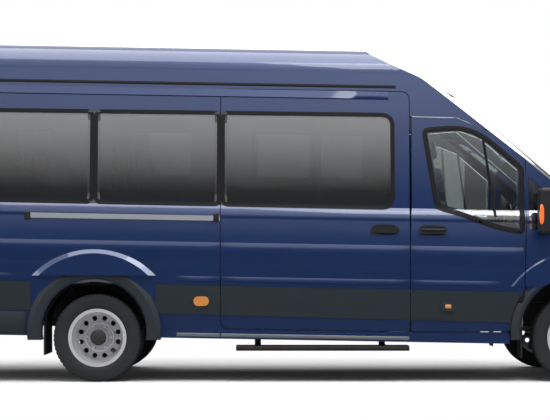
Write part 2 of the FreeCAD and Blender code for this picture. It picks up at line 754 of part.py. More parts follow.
# Front bumper, wrapped round the corners to the wheel arches
bumper_box = box((FRONT_ARCH_END_X, REACH), (-1300, 0), (BUMPER_BOTTOM_Z, BUMPER_TOP_Z - 4))
front_bumper = layer(bumper_box, -TRIM_OUT, NOSE_WALL)
intake = box((3000, REACH), (-430, 0), (380, 470))
front_bumper = whole(largest(front_bumper.cut(intake)))

# Rear doors, drawn on the right side
rear_block_z = (REAR_DOOR_BOTTOM_Z, REAR_DOOR_TOP_Z)
rear_block = box((BODY_REAR_X, BODY_REAR_X + WALL), (-REAR_DOOR_EDGE_Y, 0), rear_block_z)
centre_edge = beside([
    (BODY_REAR_X - 60, REAR_DOOR_GAP / 2),
    (BODY_REAR_X, REAR_DOOR_GAP / 2),
    (BODY_REAR_X + WALL + 10, REAR_DOOR_GAP / 2 + 5),
    (BODY_REAR_X + WALL + 10, 1200),
    (BODY_REAR_X - 60, 1200),
])
rear_door = rear_block.common(centre_edge)
outer_edges = [e for e in rear_door.Edges if abs(e.tangentAt(0).x) > 0.9 and e.BoundBox.YMin < -500]
rear_door = rear_door.makeFillet(28, outer_edges)
rear_window_y = (-REAR_DOOR_EDGE_Y + 85, -75)
rear_window = end_prism([
    (rear_window_y[0], REAR_WINDOW_BOTTOM_Z, 60),
    (rear_window_y[1], REAR_WINDOW_BOTTOM_Z, 60),
    (rear_window_y[1], REAR_WINDOW_TOP_Z, 60),
    (rear_window_y[0], REAR_WINDOW_TOP_Z, 60),
], BODY_REAR_X - 20, BODY_REAR_X + GLASS_IN + GLASS_THICK)
rear_hole = end_prism([
    (rear_window_y[0] + FRAME_LIP, REAR_WINDOW_BOTTOM_Z + FRAME_LIP, 30),
    (rear_window_y[1] - FRAME_LIP, REAR_WINDOW_BOTTOM_Z + FRAME_LIP, 30),
    (rear_window_y[1] - FRAME_LIP, REAR_WINDOW_TOP_Z - FRAME_LIP, 30),
    (rear_window_y[0] + FRAME_LIP, REAR_WINDOW_TOP_Z - FRAME_LIP, 30),
], BODY_REAR_X - 20, BODY_REAR_X + WALL + 20)
rear_pane_right = end_prism([
    (rear_window_y[0] + SEAL_GAP, REAR_WINDOW_BOTTOM_Z + SEAL_GAP, 57),
    (rear_window_y[1] - SEAL_GAP, REAR_WINDOW_BOTTOM_Z + SEAL_GAP, 57),
    (rear_window_y[1] - SEAL_GAP, REAR_WINDOW_TOP_Z - SEAL_GAP, 57),
    (rear_window_y[0] + SEAL_GAP, REAR_WINDOW_TOP_Z - SEAL_GAP, 57),
], BODY_REAR_X + GLASS_IN, BODY_REAR_X + GLASS_IN + GLASS_THICK)
rear_door = rear_door.cut(rear_window).cut(rear_hole)

# Rear door hinges: a pin between two lugs on the corner post, in a knuckle on the door
rear_hinge_x = BODY_REAR_X - REAR_HINGE_OUT
rear_hinge_y = REAR_DOOR_EDGE_Y + PANEL_GAP / 2
rear_pins = []
rear_knuckles = []
rear_hinge_leaf_x = (rear_hinge_x - 4, BODY_REAR_X + 2)
for height in REAR_HINGE_HEIGHTS:
    centre = V(rear_hinge_x, -rear_hinge_y, height)
    rear_pins.append(Part.makeCylinder(5, 90, centre - V(0, 0, 45), Z_AXIS))
    for low in (-45, 27):
        rear_pins.append(Part.makeCylinder(10, 18, centre + V(0, 0, low), Z_AXIS))
        eye_y = (-rear_hinge_y - 40, -rear_hinge_y - 2)
        rear_pins.append(box(rear_hinge_leaf_x, eye_y, (height + low, height + low + 18)))
    knuckle = Part.makeCylinder(10, 53, centre - V(0, 0, 26.5), Z_AXIS)
    leaf_y = (-rear_hinge_y + 3, -rear_hinge_y + 60)
    leaf = box(rear_hinge_leaf_x, leaf_y, (height - 26.5, height + 26.5))
    knuckle = joined([knuckle, leaf])
    rear_knuckles.append(knuckle.cut(Part.makeCylinder(5 + PIN_CLEARANCE, 60, centre - V(0, 0, 30), Z_AXIS)))
rear_door = joined([rear_door] + rear_knuckles)

# Side panels
hinge_solids = [hinge_post, b_pillar] + hinge_arms
right_panel = joined([largest(right_panel)] + rear_pins)
right_panel = joined([right_panel] + hinge_solids)
left_panel = joined([largest(left_panel)] + rear_pins)
left_panel = joined([left_panel] + hinge_solids)

# Rub strips, arch trims and side markers
def strip(x_low, x_high):
    """One length of the rub strip on the right side."""
    return layer(line_band(x_low, x_high, STRIP_BOTTOM_LINE, STRIP_TOP_LINE), -TRIM_OUT, TRIM_IN)


rear_strip = strip(REAR_ARCH[0] + ARCH_TRIM_R - 40, SLIDING_REAR_X - PANEL_GAP)
sliding_strip = strip(SLIDING_REAR_X, SLIDING_FRONT_X)
door_strip = strip(door_rear_x, DOOR_FRONT_X - 60).common(front_door_outline(0))
tail_strip = strip(BODY_REAR_X + 30, REAR_ARCH[0] - ARCH_TRIM_R + 30)


def arch_trim(arch, opening_r, out_y):
    """The moulding round a wheel arch on the right side, standing a little out of the panel."""
    outer_y = out_y + ARCH_TRIM_OUT
    ring = turned([
        (-(SIDE_LOW[0] - 70), opening_r + 1),
        (-(outer_y - 12), opening_r + 1),
        (-outer_y, opening_r + 16),
        (-outer_y, ARCH_TRIM_R - 40),
        (-(outer_y - 14), ARCH_TRIM_R),
        (-(SIDE_LOW[0] - 70), ARCH_TRIM_R),
    ], arch)
    above = box((arch[0] - 700, arch[0] + 700), (-1300, 0), (TRIM_BOTTOM_Z, 1500))
    return ring.common(above)


front_trim_full = arch_trim(FRONT_ARCH, FRONT_ARCH_R, FRONT_FLARE_Y - 14).cut(GLASS_BACK)
rear_trim = arch_trim(REAR_ARCH, REAR_ARCH_R, REAR_FLARE_Y - 30).cut(GLASS_BACK)
recess_outline = [(1800, 618), (1896, 618), (1916, 660), (1916, 706), (1800, 706)]
swing_recess = side_prism(recess_outline, -1100, -HINGE_IN_Y + 1)
front_trim = largest(front_trim_full.cut(door_opening).cut(bumper_region).cut(swing_recess))
rear_strip = rear_strip.cut(rear_trim)
tail_strip = tail_strip.cut(rear_trim)
right_panel = largest(right_panel.cut(rear_trim).cut(front_trim).cut(rear_strip).cut(tail_strip))
left_strip = strip(REAR_ARCH[0] + ARCH_TRIM_R - 40, SLIDING_FRONT_X).cut(rear_trim)
left_panel = largest(left_panel.cut(rear_trim).cut(front_trim).cut(left_strip).cut(tail_strip))
wing = largest(wing.cut(front_trim))
sliding_slab = largest(sliding_slab.cut(sliding_strip))
door_slab = largest(door_slab.cut(door_strip))


def marker(x, z):
    """An oval lamp on the rub strip of the right side, let into it."""
    oval = [(x - 60, z - 37, 36), (x + 60, z - 37, 36), (x + 60, z + 37, 36), (x - 60, z + 37, 36)]
    return side_prism(oval, -MARKER_OUT_Y, -900).cut(hull(TRIM_IN))


rear_marker = marker(MARKER_REAR_X, MARKER_REAR_Z)
front_marker = marker(MARKER_FRONT_X, MARKER_FRONT_Z)
rear_strip = rear_strip.cut(rear_marker)
left_strip = left_strip.cut(rear_marker)
door_strip = door_strip.cut(front_marker)


def handle(x, z):
    """A pull handle on the right side, over a shallow dish in the panel."""
    out_y = HANDLE_OUT_Y
    grip = [(x - 110, z - 22, 20), (x + 110, z - 22, 20), (x + 110, z + 22, 20), (x - 110, z + 22, 20)]
    bar = side_prism(grip, -out_y, -out_y + 12)
    feet = []
    for foot_x in (x - 88, x + 88):
        feet.append(box((foot_x - 14, foot_x + 14), (-out_y + 4, -900), (z - 16, z + 16)))
    return joined([bar] + feet).cut(hull(TRIM_IN))


sliding_handle = handle(SLIDING_HANDLE_X, HANDLE_Z)
door_handle = handle(DOOR_HANDLE_X, HANDLE_Z - 8)
sliding_slab = sliding_slab.cut(sliding_handle)
door_slab = door_slab.cut(door_handle)

# Rail of the sliding door on the rear quarter
door_rail = line_band(RAIL_REAR_X, SLIDING_REAR_X - PANEL_GAP, DOOR_RAIL_LOW, DOOR_RAIL_HIGH)
door_rail = door_rail.common(box((-REACH, REACH), (-RAIL_OUT_Y, -900), (0, 3300))).cut(hull(TRIM_IN))
right_panel = right_panel.cut(door_rail)

# Tail lamps on the rear corners
tail_lamp = box((BODY_REAR_X - 60, BODY_REAR_X + 90), (-1300, -TAIL_LAMP_Y), TAIL_LAMP_Z)
tail_lamp = layer(tail_lamp, -TRIM_OUT, NOSE_WALL)
right_panel = largest(right_panel.cut(tail_lamp))
left_panel = largest(left_panel.cut(tail_lamp))

# Rear bumper with a step on top
bumper_outline = [
    (REAR_X, -760, 60),
    (BODY_REAR_X + 60, -SIDE_WIDEST[0] + 2, 40),
    (BODY_REAR_X + 330, -SIDE_WIDEST[0] + 2),
    (BODY_REAR_X + 330, -SIDE_WIDEST[0] + 42),
    (BODY_REAR_X + 70, -SIDE_WIDEST[0] + 42),
    (BODY_REAR_X, -760),
    (BODY_REAR_X, 0),
    (REAR_X, 0),
]
rear_bumper = plan_prism(bumper_outline, 395, REAR_DOOR_BOTTOM_Z - 22)
rear_bumper = whole(rear_bumper)
tail_strip = tail_strip.cut(rear_bumper)
right_panel = largest(right_panel.cut(rear_bumper))
left_panel = largest(left_panel.cut(rear_bumper))


def tyre(centre_y, axle_x):
    """A road tyre, as a ring with flat tread, square shoulders and leaning side walls."""
    half = TYRE_WIDTH / 2
    return turned([
        (centre_y - TYRE_BEAD / 2, RIM_R - 7.7),
        (centre_y - half, TYRE_WAIST_R),
        (centre_y - TREAD_WIDTH / 2, TYRE_R),
        (centre_y + TREAD_WIDTH / 2, TYRE_R),
        (centre_y + half, TYRE_WAIST_R),
        (centre_y + TYRE_BEAD / 2, RIM_R - 7.7),
    ], (axle_x, TYRE_R))


def hand_holes(y_low, y_high, axle_x):
    """A ring of round holes through a wheel disc."""
    holes = []
    for i in range(HAND_HOLES):
        angle = 2 * math.pi * (i + 0.5) / HAND_HOLES
        x = axle_x + HAND_HOLE_CIRCLE * math.cos(angle)
        z = TYRE_R + HAND_HOLE_CIRCLE * math.sin(angle)
        holes.append(across(x, z, HAND_HOLE_R, y_low, y_high))
    return Part.makeCompound(holes)


def front_rim():
    """Front wheel of the right side, with a disc that bulges outwards and a hub in its middle."""
    y = -FRONT_TRACK_HALF
    flange = RIM_WIDTH / 2
    wheel = turned([
        (y - flange, RIM_R - 20),
        (y - flange, RIM_R + 6),
        (y - flange + 12, RIM_R - 8),
        (y + flange - 12, RIM_R - 8),
        (y + flange, RIM_R + 6),
        (y + flange, RIM_R - 20),
        (y - 26, RIM_R - 20),
        (y - 66, HUB_RING_R),
        (y - 66, HUB_BORE_R),
        (y - 98, HUB_BORE_R),
        (y - 98, HUB_R),
        (y - 80, HUB_RING_R),
        (y - 40, RIM_R - 20),
    ], (FRONT_AXLE_X, TYRE_R))
    return wheel.cut(hand_holes(y - 110, y - 10, FRONT_AXLE_X))


def rear_rims():
    """Twin wheels of the right rear in one piece: two barrels whose discs meet between them."""
    outer = -TWIN_OUTER_Y
    inner = outer + TWIN_PITCH
    middle = (outer + inner) / 2
    flange = RIM_WIDTH / 2
    wheel = turned([
        (outer - flange, RIM_R - 20),
        (outer - flange, RIM_R + 6),
        (outer - flange + 12, RIM_R - 8),
        (outer + flange - 12, RIM_R - 8),
        (outer + flange, RIM_R + 6),
        (outer + flange, RIM_R - 20),
        (outer + 44, RIM_R - 20),
        (middle, 168),
        (inner - 44, RIM_R - 20),
        (inner - flange, RIM_R - 20),
        (inner - flange, RIM_R + 6),
        (inner - flange + 12, RIM_R - 8),
        (inner + flange - 12, RIM_R - 8),
        (inner + flange, RIM_R + 6),
        (inner + flange, RIM_R - 20),
        (inner - 30, RIM_R - 20),
        (middle + 12, 168),
        (middle + 12, HUB_BORE_R),
        (outer - 6, HUB_BORE_R),
        (outer - 6, HUB_R),
        (middle - 20, HUB_R),
        (middle - 20, HUB_RING_R),
        (middle - 12, HUB_RING_R + 8),
        (middle - 12, 168),
        (outer + 30, RIM_R - 20),
    ], (REAR_AXLE_X, TYRE_R))
    return wheel.cut(hand_holes(middle - 30, middle + 30, REAR_AXLE_X))


def knuckle():
    """Steering knuckle of the right side: upright between two ball joints, hub barrel and steering arm."""
    axis_y = -KINGPIN_Y
    hub_end_y = -(FRONT_TRACK_HALF + 92)
    upright = side_prism([
        (FRONT_AXLE_X - 34, TYRE_R - BALL_HALF_SPAN + 17, 8),
        (FRONT_AXLE_X + 34, TYRE_R - BALL_HALF_SPAN + 17, 8),
        (FRONT_AXLE_X + 58, TYRE_R, 30),
        (FRONT_AXLE_X + 34, TYRE_R + BALL_HALF_SPAN - 17, 8),
        (FRONT_AXLE_X - 34, TYRE_R + BALL_HALF_SPAN - 17, 8),
        (FRONT_AXLE_X - 58, TYRE_R, 30),
    ], axis_y - 22, axis_y + 18)
    barrel = across(FRONT_AXLE_X, TYRE_R, HUB_BORE_R - PIN_CLEARANCE, hub_end_y, axis_y)
    pin_foot = V(FRONT_AXLE_X, axis_y, TYRE_R - BALL_HALF_SPAN - 15)
    pin = Part.makeCylinder(13, 2 * BALL_HALF_SPAN + 30, pin_foot, Z_AXIS)
    arm = box((FRONT_AXLE_X - 150, FRONT_AXLE_X - 40), (axis_y, axis_y + 16), (TYRE_R - 60, TYRE_R - 36))
    return joined([upright, barrel, pin, arm])


def suspension_arms():
    """Wishbones of the right side, from the subframe to the ball joints of the knuckle."""
    arms = []
    for side, thick in ((-1, 26), (1, 24)):
        z = TYRE_R + side * BALL_HALF_SPAN
        outline = [
            (FRONT_AXLE_X - 150, ARM_ROOT_Y, 10),
            (FRONT_AXLE_X + 150, ARM_ROOT_Y, 10),
            (FRONT_AXLE_X + 150, ARM_ROOT_Y + 50, 20),
            (FRONT_AXLE_X + 26, KINGPIN_Y - 40, 40),
            (FRONT_AXLE_X + 26, KINGPIN_Y + 26, 25),
            (FRONT_AXLE_X - 26, KINGPIN_Y + 26, 25),
            (FRONT_AXLE_X - 26, KINGPIN_Y - 40, 40),
            (FRONT_AXLE_X - 150, ARM_ROOT_Y + 50, 20),
        ]
        arm = plan_prism([(x, -y, r) for x, y, r in outline], z - thick / 2, z + thick / 2)
        eye = Part.makeCylinder(13 + PIN_CLEARANCE, 80, V(FRONT_AXLE_X, -KINGPIN_Y, z - 40), Z_AXIS)
        arms.append(arm.cut(eye))
    return arms


# Chassis: two rails with cross members, and a front subframe between the wheels
rail = end_prism([
    (-RAIL_Y - RAIL_WIDTH / 2, RAIL_Z[0], 8),
    (-RAIL_Y + RAIL_WIDTH / 2, RAIL_Z[0], 8),
    (-RAIL_Y + RAIL_WIDTH / 2, RAIL_Z[1], 8),
    (-RAIL_Y - RAIL_WIDTH / 2, RAIL_Z[1], 8),
], BODY_REAR_X + WALL, FRONT_X - 130)
rail_inner_y = RAIL_Y - RAIL_WIDTH / 2
cross_members = []
floor_posts = []
for x in (-2950, -2150, -700, 400, 1400):
    member_z = (RAIL_Z[0] + 30, RAIL_Z[1] - 20)
    cross_members.append(box((x - 30, x + 30), (-rail_inner_y, rail_inner_y), member_z))
    post = box((x - 30, x + 30), (-RAIL_Y - 25, -RAIL_Y + 25), (RAIL_Z[1], FLOOR_TOP - FLOOR_THICK))
    floor_posts += [post, mirrored(post)]
subframe_x = (FRONT_AXLE_X - 170, FRONT_AXLE_X + 170)
subframe = box(subframe_x, (-ARM_ROOT_Y, ARM_ROOT_Y), SUBFRAME_Z)
tower_x = (FRONT_AXLE_X - 150, FRONT_AXLE_X + 150)
tower = box(tower_x, (-ARM_ROOT_Y, -ARM_ROOT_Y + 60), (SUBFRAME_Z[1], RAIL_Z[0]))
members = [subframe, tower, mirrored(tower)] + cross_members + floor_posts

# Fastening points: four bolt holes for a tow bar in each rail
tow_cutters = []
for x in (TOW_BAR_X - TOW_BOLT_PITCH[0] / 2, TOW_BAR_X + TOW_BOLT_PITCH[0] / 2):
    for z in (TOW_BAR_Z - TOW_BOLT_PITCH[1] / 2, TOW_BAR_Z + TOW_BOLT_PITCH[1] / 2):
        for y in (-RAIL_Y, RAIL_Y):
            tow_cutters.append(across(x, z, TOW_BOLT_R, y - RAIL_WIDTH, y + RAIL_WIDTH))
rails = [r.cut(Part.makeCompound(tow_cutters)) for r in (rail, mirrored(rail))]
chassis = Part.makeCompound(rails + members)

# Rear axle with its casing, springs and propeller shaft
axle_tube = across(REAR_AXLE_X, TYRE_R, HUB_BORE_R - PIN_CLEARANCE, -TWIN_OUTER_Y + 4, TWIN_OUTER_Y - 4)
casing = turned([(-140, 0), (-140, 60), (-70, 140), (70, 140), (140, 60), (140, 0)], (REAR_AXLE_X, TYRE_R))
nose = rod(V(REAR_AXLE_X + 100, 0, TYRE_R), V(REAR_AXLE_X + 260, 0, TYRE_R + 6), 55)
rear_axle = joined([axle_tube, casing, nose])
shaft_start = V(REAR_AXLE_X + 262, 0, TYRE_R + 6)
shaft_middle = V(400, 0, 420)
shaft_end = V(1690, 0, 456)
prop_shaft = joined([
    rod(shaft_start, shaft_middle, 38),
    rod(shaft_middle, shaft_end + V(15, 0, 0), 38),
    Part.makeSphere(52, shaft_middle),
    rod(shaft_end, shaft_end + V(30, 0, 0), 46),
])
spring_bottom = TYRE_R + HUB_BORE_R
spring = side_prism([
    (REAR_AXLE_X - 700, RAIL_Z[0] - 50),
    (REAR_AXLE_X - 560, RAIL_Z[0] - 42),
    (REAR_AXLE_X - 90, spring_bottom),
    (REAR_AXLE_X + 90, spring_bottom),
    (REAR_AXLE_X + 560, RAIL_Z[0] - 42),
    (REAR_AXLE_X + 700, RAIL_Z[0] - 50),
    (REAR_AXLE_X + 700, RAIL_Z[0]),
    (REAR_AXLE_X + 650, RAIL_Z[0]),
    (REAR_AXLE_X + 630, RAIL_Z[0] - 26),
    (REAR_AXLE_X + 90, spring_bottom + 44),
    (REAR_AXLE_X - 90, spring_bottom + 44),
    (REAR_AXLE_X - 630, RAIL_Z[0] - 26),
    (REAR_AXLE_X - 650, RAIL_Z[0]),
    (REAR_AXLE_X - 700, RAIL_Z[0]),
], -RAIL_Y - 32, -RAIL_Y + 32)

# Engine with its gearbox, as one plain block
engine = joined([
    box((2470, 3060), (-270, 270), (455, 960)),
    box((1720, 2480), (-120, 120), (420, 600)),
])
engine_mount = box((2560, 2700), (-rail_inner_y, rail_inner_y), (RAIL_Z[0] + 10, RAIL_Z[0] + 60))
engine = joined([engine, engine_mount])

# Radiator between the front ends of the rails
radiator_half = RAIL_Y - RAIL_WIDTH / 2 - 5
radiator = box((3110, 3160), (-radiator_half, radiator_half), (350, 925))
radiator_feet = box((3120, 3150), (-radiator_half - 5, radiator_half + 5), (RAIL_Z[0] + 30, RAIL_Z[1] - 40))
radiator = joined([radiator, radiator_feet])

# Fuel tank, hung from the left rail
tank_outline = [
    (RAIL_Y + RAIL_WIDTH / 2, 330, 40),
    (800, 330, 60),
    (800, 590, 40),
    (RAIL_Y + RAIL_WIDTH / 2, 590, 0),
]
fuel_tank = end_prism(tank_outline, -300, 800)

# Exhaust, along the right rail
pipe_y = -330
pipe_z = 400
exhaust = joined([
    rod(V(2300, pipe_y, pipe_z), V(900, pipe_y, pipe_z), 28),
    rod(V(900, pipe_y, pipe_z), V(100, pipe_y, pipe_z), 85),
    rod(V(100, pipe_y, pipe_z), V(-900, pipe_y, pipe_z), 28),
])
exhaust_hanger = box((470, 500), (-RAIL_Y + RAIL_WIDTH / 2, pipe_y), (RAIL_Z[0], pipe_z + 84))
exhaust = joined([exhaust, exhaust_hanger])

# Floor of the cabin and cab, with boxes over the wheels
floor_half = SIDE_LOW[0] - WALL
floor_low = FLOOR_TOP - FLOOR_THICK
slab = box((BODY_REAR_X + WALL, FIREWALL_X), (-1000, 0), (floor_low, FLOOR_TOP))
wheel_box_z = (floor_low, WHEEL_BOX_TOP + 30)
front_box = box((FRONT_WHEEL_BOX[0] - 30, FIREWALL_X), (-1000, -FRONT_BOX_INNER_Y + 30), wheel_box_z)
front_hollow = box((FRONT_WHEEL_BOX[0], FIREWALL_X + 10), (-1200, -FRONT_BOX_INNER_Y), (0, WHEEL_BOX_TOP))
rear_box_x = (REAR_WHEEL_BOX[0] - 30, REAR_WHEEL_BOX[1] + 30)
rear_box = box(rear_box_x, (-1000, -REAR_BOX_INNER_Y + 30), wheel_box_z)
rear_hollow = box(REAR_WHEEL_BOX, (-1200, -REAR_BOX_INNER_Y), (0, WHEEL_BOX_TOP))
firewall = box((FIREWALL_X - 30, FIREWALL_X), (-1000, 0), (floor_low, 1240))
firewall = firewall.cut(front_hollow)
sill = box((SLIDING_REAR_X - 200, DOOR_FRONT_X - 10), (-1000, -floor_half + 120), (SILL_BOX_Z, FLOOR_TOP))
floor_half_shape = joined([slab, front_box, rear_box, firewall, sill])
floor_half_shape = floor_half_shape.cut(front_hollow).cut(rear_hollow)
floor_half_shape = floor_half_shape.cut(arch_tool(REAR_ARCH, REAR_ARCH_R - 20)).cut(hinge_post)
cabin_space = hull(WALL + 0.5).common(RIGHT)
door_space = box((door_rear_x - 60, DOOR_FRONT_X + 90), (-1300, -(SIDE_LOW[0] - WALL - 14)), (0, 900))
floor_right = floor_half_shape.common(cabin_space).cut(door_space)
floor_pan = whole(largest(floor_right))


def seat(x, y, width, cushion_z, back_height, tilt=10.0):
    """A seat that faces forwards: cushion, leaning back with a head restraint, and a base on the floor."""
    cushion = box((x - 30, x + SEAT_DEPTH), (y - width / 2, y + width / 2), (cushion_z - 120, cushion_z))
    cushion = cushion.makeFillet(30, [e for e in cushion.Edges if abs(e.tangentAt(0).y) > 0.9])
    lean = math.tan(math.radians(tilt))
    back = side_prism([
        (x - 20, cushion_z - 100, 20),
        (x + 90, cushion_z - 100, 20),
        (x + 60 - lean * back_height, cushion_z + back_height, 25),
        (x - 40 - lean * back_height, cushion_z + back_height, 25),
    ], y - width / 2, y + width / 2)
    head_x = x - lean * (back_height + 90)
    head = side_prism([
        (head_x - 34, cushion_z + back_height - 10, 20),
        (head_x + 44, cushion_z + back_height - 10, 20),
        (head_x + 36, cushion_z + back_height + 170, 30),
        (head_x - 40, cushion_z + back_height + 170, 30),
    ], y - 130, y + 130)
    base_y = (y - width / 2 + 60, y + width / 2 - 60)
    base = box((x + 40, x + SEAT_DEPTH - 80), base_y, (FLOOR_TOP, cushion_z - 110))
    return joined([cushion, back, head, base])


box_side = box(rear_box_x, (-1100, -REAR_BOX_INNER_Y + 30), (0, WHEEL_BOX_TOP + 30))
wheel_box_space = both(box_side)
passenger_seats = []
for row_x in SEAT_ROWS:
    for seat_y in SEAT_PLACES:
        place = seat(row_x, seat_y, SEAT_WIDTH, PASSENGER_CUSHION_Z, PASSENGER_BACK)
        passenger_seats.append(place.cut(wheel_box_space))
cab_seats = [
    seat(CAB_SEAT_X, CAB_SEAT_Y, 500, CAB_CUSHION_Z, CAB_BACK),
    seat(CAB_SEAT_X, -CAB_SEAT_Y, 500, CAB_CUSHION_Z, CAB_BACK),
]

# Dashboard from side to side, and the steering wheel on the left
dashboard = side_prism([
    (FIREWALL_X - 30, 900, 0),
    (FIREWALL_X - 30, 1240, 30),
    (2230, 1262, 60),
    (2130, 1215, 40),
    (2150, 1040, 40),
    (2250, 920, 40),
], -820, 820)
wheel_centre = V(STEERING_WHEEL_X, CAB_SEAT_Y, STEERING_WHEEL_Z)
column_axis = V(math.cos(math.radians(35)), 0, -math.sin(math.radians(35)))
ring = Part.makeTorus(STEERING_WHEEL_R, 15, wheel_centre, column_axis)
boss = rod(wheel_centre - column_axis * 10, wheel_centre + column_axis * 60, 55)
column = rod(wheel_centre + column_axis * 50, wheel_centre + column_axis * 330, 28)
spokes = [
    rod(wheel_centre, wheel_centre + V(0, side * (STEERING_WHEEL_R - 4), 0), 11) for side in (-1, 1)
]
steering_wheel = joined([ring, boss] + spokes)
column = column.cut(boss)
dashboard = joined([dashboard, column]).cut(boss)

# Side step below the sliding door, mud flaps and wipers
side_step = box((STEP_REAR_X, STEP_FRONT_X), (-1010, -790), (STEP_Z - 38, STEP_Z))
side_step = side_step.makeFillet(12, [e for e in side_step.Edges if abs(e.tangentAt(0).x) > 0.9])
step_brackets = []
for x in STEP_BRACKETS:
    step_brackets.append(box((x - 25, x + 25), (-900, -RAIL_Y - RAIL_WIDTH / 2), (STEP_Z - 30, STEP_Z - 8)))
    bracket_y = (-RAIL_Y - RAIL_WIDTH / 2 - 22, -RAIL_Y - RAIL_WIDTH / 2)
    step_brackets.append(box((x - 25, x + 25), bracket_y, (STEP_Z - 30, RAIL_Z[0] + 60)))
side_step = joined([side_step] + step_brackets)
rear_flap = joined([
    box((REAR_FLAP_X - 6, REAR_FLAP_X + 6), (-985, -575), (REAR_FLAP_Z, FLAP_OUTER_TOP_Z)),
    box((REAR_FLAP_X - 6, REAR_FLAP_X + 6), (-900, -575), (REAR_FLAP_Z, 600)),
    box((REAR_WHEEL_BOX[0], REAR_FLAP_X + 6), (-880, -600), (560, 700)),
])
front_flap = box((FRONT_FLAP_X - 6, FRONT_FLAP_X + 6), (-985, -780), (FRONT_FLAP_Z, SILL_BOX_Z))
mud_flaps = Part.makeCompound([rear_flap, mirrored(rear_flap), front_flap, mirrored(front_flap)])


def on_screen(y, z, distance):
    """A point at a distance above the windscreen's outer face, over a given y and z of that face."""
    foot, top = NOSE_PROFILE[SCREEN_FOOT], NOSE_PROFILE[SCREEN_FOOT + 1]
    slope = (top[1] - foot[1]) / (foot[0] - top[0])
    radius = foot[0] - (z - foot[1]) / slope
    out_x = math.sqrt(radius ** 2 - y ** 2)
    normal = V(slope * out_x / radius, slope * y / radius, 1).normalize()
    return V(NOSE_AXIS_X + out_x, y, z) + normal * distance


def wiper(pivot_y, tip_y):
    """A wiper along the foot of the windscreen: pivot on the cowl, arm, and blade beside it."""
    pivot = rod(on_screen(pivot_y, WIPER_PIVOT_Z, -6), on_screen(pivot_y, WIPER_PIVOT_Z, 38), 14).cut(OUTER)
    middle_y = (pivot_y + tip_y) / 2
    arm = rod(on_screen(pivot_y, WIPER_PIVOT_Z, 28), on_screen(middle_y, WIPER_PIVOT_Z + 62, 36), 8)
    blade_start = on_screen(pivot_y * 0.8 + tip_y * 0.2, WIPER_PIVOT_Z + 48, 30)
    blade = rod(blade_start, on_screen(tip_y, WIPER_PIVOT_Z + 76, 30), 9)
    return joined([pivot, arm, blade])


# Mirrors of both sides, each on a foot at the pillar
mirror_head = box((MIRROR_X - 62, MIRROR_X + 62), (-MIRROR_OUT_Y, -MIRROR_IN_Y), MIRROR_Z)
mirror_head = mirror_head.makeFillet(30, mirror_head.Edges)
mirror_foot = joined([
    rod(V(MIRROR_X + 20, -MIRROR_IN_Y - 40, MIRROR_Z[0] + 60), V(MIRROR_X + 100, -930, MIRROR_Z[0] + 40), 20),
    rod(V(MIRROR_X + 20, -MIRROR_IN_Y - 40, MIRROR_Z[1] - 60), V(MIRROR_X + 120, -900, MIRROR_Z[1] - 70), 14),
])
mirror = joined([mirror_head, mirror_foot.cut(OUTER)])

# Everything on the body of the vehicle
add("side_panel_right", right_panel)
add("side_panel_left", mirrored(left_panel))
add("roof_panel", roof_panel)
add("windscreen", windscreen)
add("wing_right", wing)
add("wing_left", mirrored(wing))
add("cowl", cowl)
add("front_panel", front_panel)
add("grille", grille)
add("headlamps", both(headlamp))
add("tail_lamps", both(tail_lamp))
add("front_bumper", front_bumper)
add("rear_bumper", rear_bumper)
add("floor_pan", floor_pan)
add("sliding_door", sliding_slab)
add("side_windows", Part.makeCompound([
    rear_pane, middle_pane, quarter_pane, sliding_pane,
    mirrored(rear_pane), mirrored(middle_pane), mirrored(quarter_pane), mirrored(long_pane),
]))
add("rub_strips", Part.makeCompound([
    rear_strip, tail_strip, sliding_strip, mirrored(left_strip), mirrored(tail_strip),
]))
add("arch_trims", Part.makeCompound([rear_trim, front_trim, mirrored(rear_trim), mirrored(front_trim)]))
add("side_markers", Part.makeCompound([rear_marker, mirrored(rear_marker)]))
add("door_rail", door_rail)
add("sliding_door_handle", sliding_handle)
add("mirrors", both(mirror))
add("wipers", Part.makeCompound([wiper(40, 640), wiper(-620, -20)]))
add("passenger_seats", Part.makeCompound(passenger_seats))
add("cab_seats", Part.makeCompound(cab_seats))
add("dashboard", dashboard)
add("steering_wheel", steering_wheel)
add("engine", engine)
add("radiator", radiator)
add("chassis_frame", chassis)
add("suspension_arms", Part.makeCompound(suspension_arms() + [mirrored(a) for a in suspension_arms()]))
add("rear_axle", rear_axle)
add("rear_springs", both(spring))
add("propeller_shaft", prop_shaft)
add("exhaust", exhaust)
add("fuel_tank", fuel_tank)
add("side_step", side_step)
add("mud_flaps", mud_flaps)

# Pieces that move
add("bonnet", bonnet)
door_trim = Part.makeCompound([door_strip, door_handle, front_marker])
for side, turn in (("right", lambda shape: shape), ("left", mirrored)):
    add("front_door_" + side, turn(door_slab))
    add("front_door_window_" + side, turn(door_pane))
    add("front_door_trim_" + side, turn(door_trim))
    add("rear_door_" + side, turn(rear_door))
    add("rear_door_window_" + side, turn(rear_pane_right))
    add("knuckle_" + side, turn(knuckle()))
    add("front_rim_" + side, turn(front_rim()))
    add("front_tyre_" + side, turn(tyre(-FRONT_TRACK_HALF, FRONT_AXLE_X)))
    add("rear_rims_" + side, turn(rear_rims()))
    twin = [tyre(-TWIN_OUTER_Y, REAR_AXLE_X), tyre(-TWIN_OUTER_Y + TWIN_PITCH, REAR_AXLE_X)]
    add("rear_tyres_" + side, turn(Part.makeCompound(twin)))

os.makedirs("parts", exist_ok=True)
for name, shape in nodes.items():
    shape.exportStep(os.path.join("parts", name + ".step"))
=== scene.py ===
"""Looks of a long, high-roofed blue minibus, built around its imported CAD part.

Metres throughout. +X points to the front, +Y to the left and +Z up, with the ground at Z = 0.
"""
import logging
import math
from dataclasses import dataclass, field
from enum import Enum

